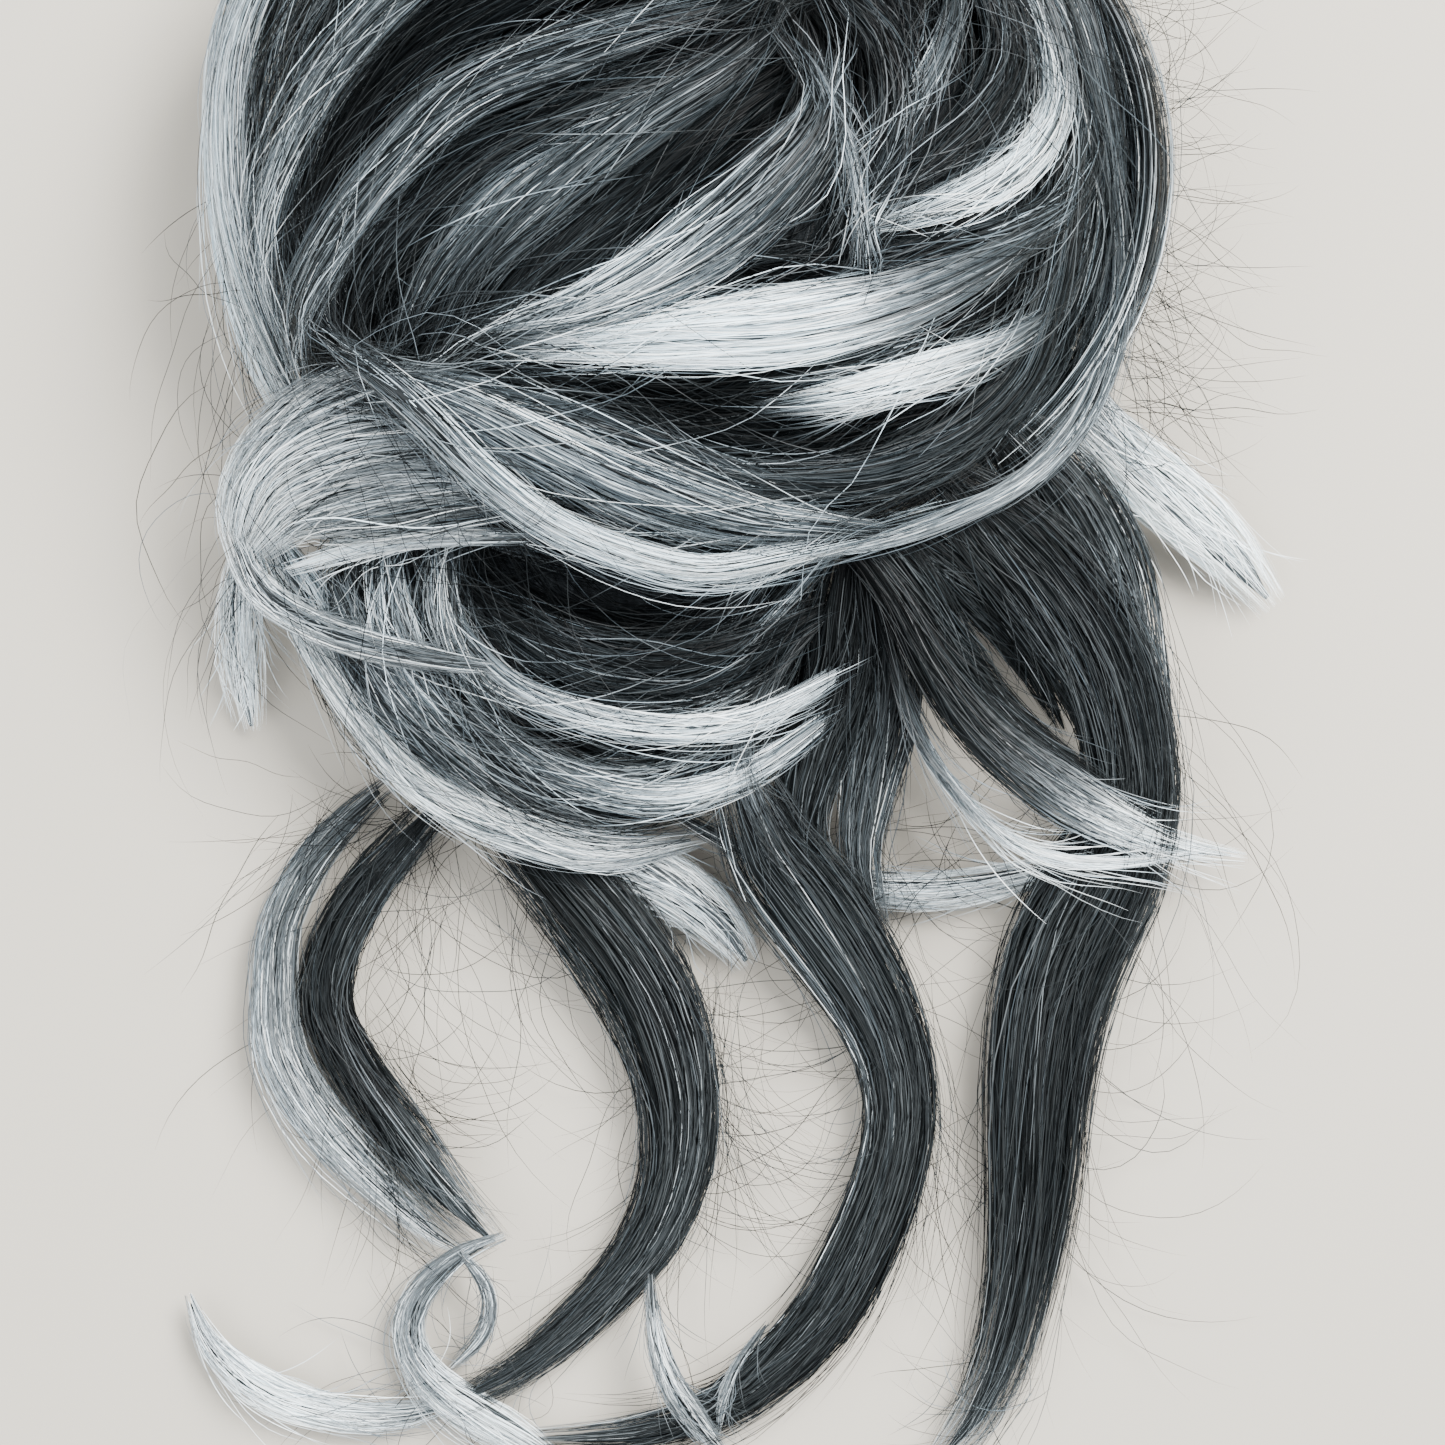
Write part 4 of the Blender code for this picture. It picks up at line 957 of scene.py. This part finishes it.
def side_strands(rng, mound, count, tone, loose):
    """Strands round the sides of a mound, from its foot to its shoulder."""
    radius_across, radius_up, rise = core_sizes(mound)
    segments = 12
    s = np.linspace(0, 1, segments + 1)
    start = rng.uniform(0, 2 * math.pi, (count, 1))
    sweep = np.radians(rng.uniform(25, 75, (count, 1))) * rng.choice((-1, 1), (count, 1))
    turn = start + sweep * s
    low = rng.uniform(0.4 * MM, mound.waist + rise * 0.72, (count, 1))
    high = low + rng.normal(0, 5 * MM, (count, 1))
    level = low + (high - low) * s + 0.8 * MM * swings(rng, count, s, (0.7, 1.4))
    level = np.clip(level, 0.35 * MM, mound.waist + rise * 0.8)
    rounded = np.sqrt(np.maximum(0.0, 1 - (np.maximum(level - mound.waist, 0) / rise) ** 2))
    tucked = np.interp(level, (0, mound.waist / 3, mound.waist), (MOUND_BASE, (1 + MOUND_BASE) / 2, 1.0))
    share = np.where(level > mound.waist, rounded, tucked)
    out = rng.uniform(0.2, 1.0, (count, 1)) ** 1.2 * loose * (0.5 + 0.5 * np.sin(math.pi * s))
    out = out * (1 + 1.3 * np.maximum(0, np.cos(turn)) ** 4 * loose / (5 * MM))
    across = mound.across * BUN_RADIUS + np.cos(turn) * (radius_across * share + out)
    up = mound.up * BUN_RADIUS + np.sin(turn) * (radius_up * share + out)
    points = np.stack((across, up, level), axis=-1)
    facing = around(turn, 1.0, (level - mound.waist) / rise)
    base = tone + 0.32 * np.maximum(0, np.cos(turn - math.radians(190)))
    shade = strand_shades(rng, count, base, 0.25, 0.25)
    thick = STRAND_WIDTH * rng.uniform(0.9, 1.5, (count, 1))
    return ribbons(rng, points, facing, thick, shade, 0.45)


def underside_strands(rng, count):
    """Strands combed over the flat underside, from the cavity's mouth outward."""
    segments = 5
    s = np.linspace(0, 1, segments + 1)
    radius, _, _ = core_sizes(MOUNDS[0])
    turn = rng.uniform(0, 2 * math.pi, (count, 1)) + rng.normal(0, 0.25, (count, 1)) * s + 0.35 * s
    reach = CAVITY_RADIUS + 1.2 * MM + (radius * MOUND_BASE - CAVITY_RADIUS - 1.6 * MM) * (
        rng.uniform(0, 0.15, (count, 1)) + s * rng.uniform(0.7, 0.85, (count, 1)))
    level = np.repeat(rng.uniform(0.10, 0.45, (count, 1)), segments + 1, axis=1) * MM
    points = around(turn, reach, level)
    facing = np.tile((0.0, 0.0, -1.0), points.shape[:2] + (1,))
    shade = strand_shades(rng, count, np.full((count, segments + 1), 0.30), 0.25, 0.25)
    return ribbons(rng, points, facing, STRAND_WIDTH * 1.6 * np.ones((count, 1)), shade, 0.15)


def cavity_strands(rng, count):
    """Strands up the inside of the cavity."""
    segments = 8
    s = np.linspace(0, 1, segments + 1)
    climb = 0.10 + rng.uniform(0.4, 0.9, (count, 1)) * s
    turn = rng.uniform(0, 2 * math.pi, (count, 1)) + 0.8 * s
    straight = CAVITY_DEPTH / 3
    level = CAVITY_DEPTH * climb
    dome = np.clip((level - straight) / (CAVITY_DEPTH - straight), 0, 0.995)
    reach = (CAVITY_RADIUS - 0.5 * MM) * np.sqrt(1 - dome ** 2) - rng.uniform(0.0, 0.5, (count, 1)) * MM
    points = around(turn, reach, np.maximum(level - 0.4 * MM, 0.5 * MM))
    facing = around(turn, -1.0, np.full_like(turn, -0.3))
    shade = strand_shades(rng, count, np.full((count, segments + 1), 0.25), 0.25, 0.2)
    return ribbons(rng, points, facing, STRAND_WIDTH * 1.5 * np.ones((count, 1)), shade, 0.2)


def bun_core():
    """The bun's packed core: the solid's own shape drawn in under the strands."""
    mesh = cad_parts["bun"].data.copy()
    mesh.name = "bun_core"
    count = len(mesh.vertices)
    place = np.zeros(count * 3, np.float32)
    mesh.vertices.foreach_get("co", place)
    normal = np.zeros(count * 3, np.float32)
    mesh.vertices.foreach_get("normal", normal)
    place = place.reshape(-1, 3) - normal.reshape(-1, 3) * 0.5 * MM
    mesh.vertices.foreach_set("co", place.ravel())
    mesh.materials.clear()
    mesh.materials.append(core_material())
    piece = add_object("bun_core", mesh)
    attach(piece, "root")
    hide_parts("bun")


def band_cover():
    """Ribbed elastic ring in the place of the CAD ring."""
    wire = (band_high.z - band_low.z) / 2
    level = (band_high.z + band_low.z) / 2
    ring = (band_high.x - band_low.x) / 2 - wire
    turns = 288
    sides = 12
    turn = np.linspace(0, 2 * math.pi, turns, endpoint=False)[:, None]
    roll = np.linspace(0, 2 * math.pi, sides, endpoint=False)[None]
    thick = wire * (0.95 + 0.05 * np.cos(turn * 72))
    reach = ring + thick * np.cos(roll)
    points = (around(turn, reach, level + thick * np.sin(roll)) + MIDDLE).reshape(-1, 3)
    here = np.arange(turns)[:, None] * sides
    after = (np.arange(turns)[:, None] + 1) % turns * sides
    side = np.arange(sides)[None]
    beside = (side + 1) % sides
    faces = np.stack((here + side, after + side, after + beside, here + beside), axis=-1).reshape(-1, 4)
    mesh = bpy.data.meshes.new("band_cover")
    mesh.from_pydata(points.tolist(), [], faces.tolist())
    mesh.shade_smooth()
    mesh.materials.append(elastic_material())
    piece = add_object("band_cover", mesh)
    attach(piece, "root")
    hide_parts("elastic_band")


def thinned(count):
    return max(8, int(count * THINNING))


def bun_pieces():
    """The hair of the mounds that belongs to no lock."""
    rng = np.random.default_rng(BUN_SEED)
    bun_core()
    # The hair under the locks is painted darker than them, as painted shade.
    under = flow_strands(rng, thinned(6400), (0.5, 1.1), 0.05, (0.3 * MM, 4.2 * MM), STRAND_WIDTH,
                         0.18, 0.18)
    hair_piece("hair_flow", "dark", [under], [], [])
    over = flow_strands(rng, thinned(2700), (0.35, 0.9), 0.38, (4.5 * MM, 9.0 * MM), FLYAWAY_WIDTH,
                        0.0, 0.42)
    hair_piece("hair_crossing", "grey", [over], [], [])
    sides = [side_strands(rng, MOUNDS[0], thinned(3200), 0.32, 5.2 * MM),
             side_strands(rng, MOUNDS[1], thinned(1000), 0.38, 2.6 * MM)]
    hair_piece("hair_sides", "grey", sides, [], [])
    below = [underside_strands(rng, thinned(1300)), cavity_strands(rng, thinned(700))]
    hair_piece("hair_underside", "dark", below, [], [])


Fly = namedtuple("Fly", "count place spread height heading stray length curl shade")

# Loose single hairs: where they start and how far round it, in hundredths of the bun's radius, the
# heights in mm at which they start and end, the way they head in degrees from +X and how much that
# differs, their length in hundredths too, how far they turn over it in degrees, and their shade
FLYAWAYS = (
    (110, (98, 15), (8, 40), (24, 12), -15, 35, (20, 50), 25, 20),
    (110, (100, -35), (8, 30), (20, 6), -30, 30, (20, 50), 20, 20),
    (50, (60, 30), (20, 20), (46, 30), 10, 50, (40, 90), -50, 30),
    (50, (-90, -30), (6, 30), (26, 8), 230, 35, (30, 60), 60, 28),
    (50, (-86, -80), (10, 15), (20, 5), 225, 50, (30, 70), 70, 30),
    (60, (104, -130), (10, 30), (14, 4), -60, 35, (40, 90), -60, 26),
    (50, (86, -210), (10, 50), (6, 2), -100, 35, (30, 80), 70, 24),
    (45, (50, -200), (8, 30), (6, 3), -80, 50, (30, 70), -90, 24),
    (60, (2, -200), (10, 35), (6, 3), -70, 50, (30, 80), 90, 26),
    (60, (-40, -160), (35, 10), (8, 3), -95, 35, (40, 90), 60, 28),
    (40, (-70, -200), (12, 30), (5, 3), -60, 50, (30, 60), 70, 26),
    (60, (60, -150), (30, 15), (8, 3), -100, 60, (30, 70), 70, 28),
    (40, (80, -280), (10, 10), (4, 2), -110, 30, (20, 40), -60, 40),
    (40, (-50, -280), (30, 8), (4, 2), 190, 60, (20, 40), 60, 50),
    (70, (-62, -66), (40, 30), (39, 35), -40, 50, (30, 70), 60, 10),
    (90, (-66, -212), (8, 28), (6, 4), -62, 10, (20, 42), 8, 10),
    (90, (-60, -145), (26, 8), (9, 4), 232, 30, (20, 50), 12, 20),
    (60, (12, -198), (5, 22), (6, 3), -88, 8, (35, 70), -35, 30),
    (50, (58, -208), (5, 22), (6, 3), -88, 8, (30, 60), -30, 24),
)


def flyaway_strands(rng, fly):
    """Loose single hairs of one row, without those that leave the part's box by over 8 mm."""
    count = thinned(fly.count)
    segments = 14
    s = np.linspace(0, 1, segments + 1)
    place, spread, reach = (np.array(pair) / 100 for pair in (fly.place, fly.spread, fly.length))
    across = place[0] + rng.normal(0, 0.5, (count, 1)) * spread[0]
    up = place[1] + rng.normal(0, 0.5, (count, 1)) * spread[1]
    length = rng.uniform(*reach, (count, 1)) * BUN_RADIUS
    curl = np.radians(fly.curl + rng.normal(0, 60, (count, 1)))
    turn = np.radians(fly.heading + rng.normal(0, fly.stray, (count, 1))) + curl * s
    turn = turn + 0.12 * swings(rng, count, s, (1.0, 2.2))
    step = length / segments
    x = across * BUN_RADIUS + np.cumsum(np.cos(turn) * step, axis=1) - np.cos(turn[:, :1]) * step
    y = up_from_middle(up) + np.cumsum(np.sin(turn) * step, axis=1) - np.sin(turn[:, :1]) * step
    drop = s ** rng.uniform(0.7, 1.6, (count, 1))
    z = (fly.height[0] * (1 - drop) + fly.height[1] * drop) * MM + rng.normal(0, 1.0, (count, 1)) * MM
    z = np.maximum(z, 0.4 * MM)
    points = np.stack((x, y, z), axis=-1)
    facing = np.tile((0.0, 0.0, 1.0), points.shape[:2] + (1,))
    base = np.full((count, segments + 1), fly.shade / 100) + rng.normal(0, 0.08, (count, 1))
    shade = strand_shades(rng, count, base, 0.1, 0.12)
    low = np.array(cad_box[0]) - MIDDLE - FLYAWAY_REACH
    low[2] = 0.0
    high = np.array(cad_box[1]) - MIDDLE + FLYAWAY_REACH
    within = ((points > low) & (points < high)).all(axis=(1, 2))
    points = points[within]
    count = len(points)
    return ribbons(rng, points, facing[within], FLYAWAY_WIDTH * rng.uniform(0.8, 1.2, (count, 1)),
                   shade[within], 0.6)


def flyaway_piece():
    rng = np.random.default_rng(FLYAWAY_SEED)
    strands = [flyaway_strands(rng, Fly(*row)) for row in FLYAWAYS]
    hair_piece("hair_flyaways", "dark", strands, [], [])


def floor():
    mesh = bpy.data.meshes.new("floor")
    reach = 1.5
    mesh.from_pydata([(-reach, -reach, 0), (reach, -reach, 0), (reach, reach, 0), (-reach, reach, 0)], [],
                     [(0, 1, 2, 3)])
    mat, _, shader = new_material("floor")
    set_inputs(shader, {"Base Color": (0.364, 0.339, 0.288, 1.0), "Roughness": 0.9})
    mesh.materials.append(mat)
    plane = add_object("floor", mesh)


def area_light(name, place, target, size, power, color):
    data = bpy.data.lights.new(name, "AREA")
    data.shape = "SQUARE"
    data.size = size
    data.energy = power
    data.color = color
    light = add_object(name, data)
    light.location = place
    aim = np.array(target) - np.array(place)
    flat = math.hypot(aim[0], aim[1])
    light.rotation_euler = (math.atan2(flat, -aim[2]), 0, math.atan2(aim[1], aim[0]) - math.pi / 2)


# The camera's lens in mm and its place in metres
CAMERA_LENS = 87.62
CAMERA_PLACE = (-0.00075, -0.01467, 0.462)


def studio():
    """Soft key light from the upper right, soft fill from all round, and the camera overhead."""
    area_light("key", (0.45, 0.40, 0.75), (0, 0, 0.02), 0.50, 48, (1.0, 0.99, 0.975))
    area_light("fill", (-0.60, -0.20, 0.70), (0, 0, 0.02), 0.80, 11.5, (0.96, 0.98, 1.0))
    world = bpy.data.worlds.new("world")
    world.use_nodes = True
    sky = world.node_tree.nodes["Background"]
    set_inputs(sky, {"Color": (0.93, 0.95, 1.0, 1.0), "Strength": 1.59})
    bpy.context.scene.world = world
    camera = bpy.data.cameras.new("camera")
    camera.lens = CAMERA_LENS
    camera.sensor_width = 36.0
    camera.clip_start = 0.01
    eye = add_object("camera", camera)
    eye.location = CAMERA_PLACE
    bpy.context.scene.camera = eye


studio()
floor()
lock_pieces()
bun_pieces()
flyaway_piece()
band_cover()
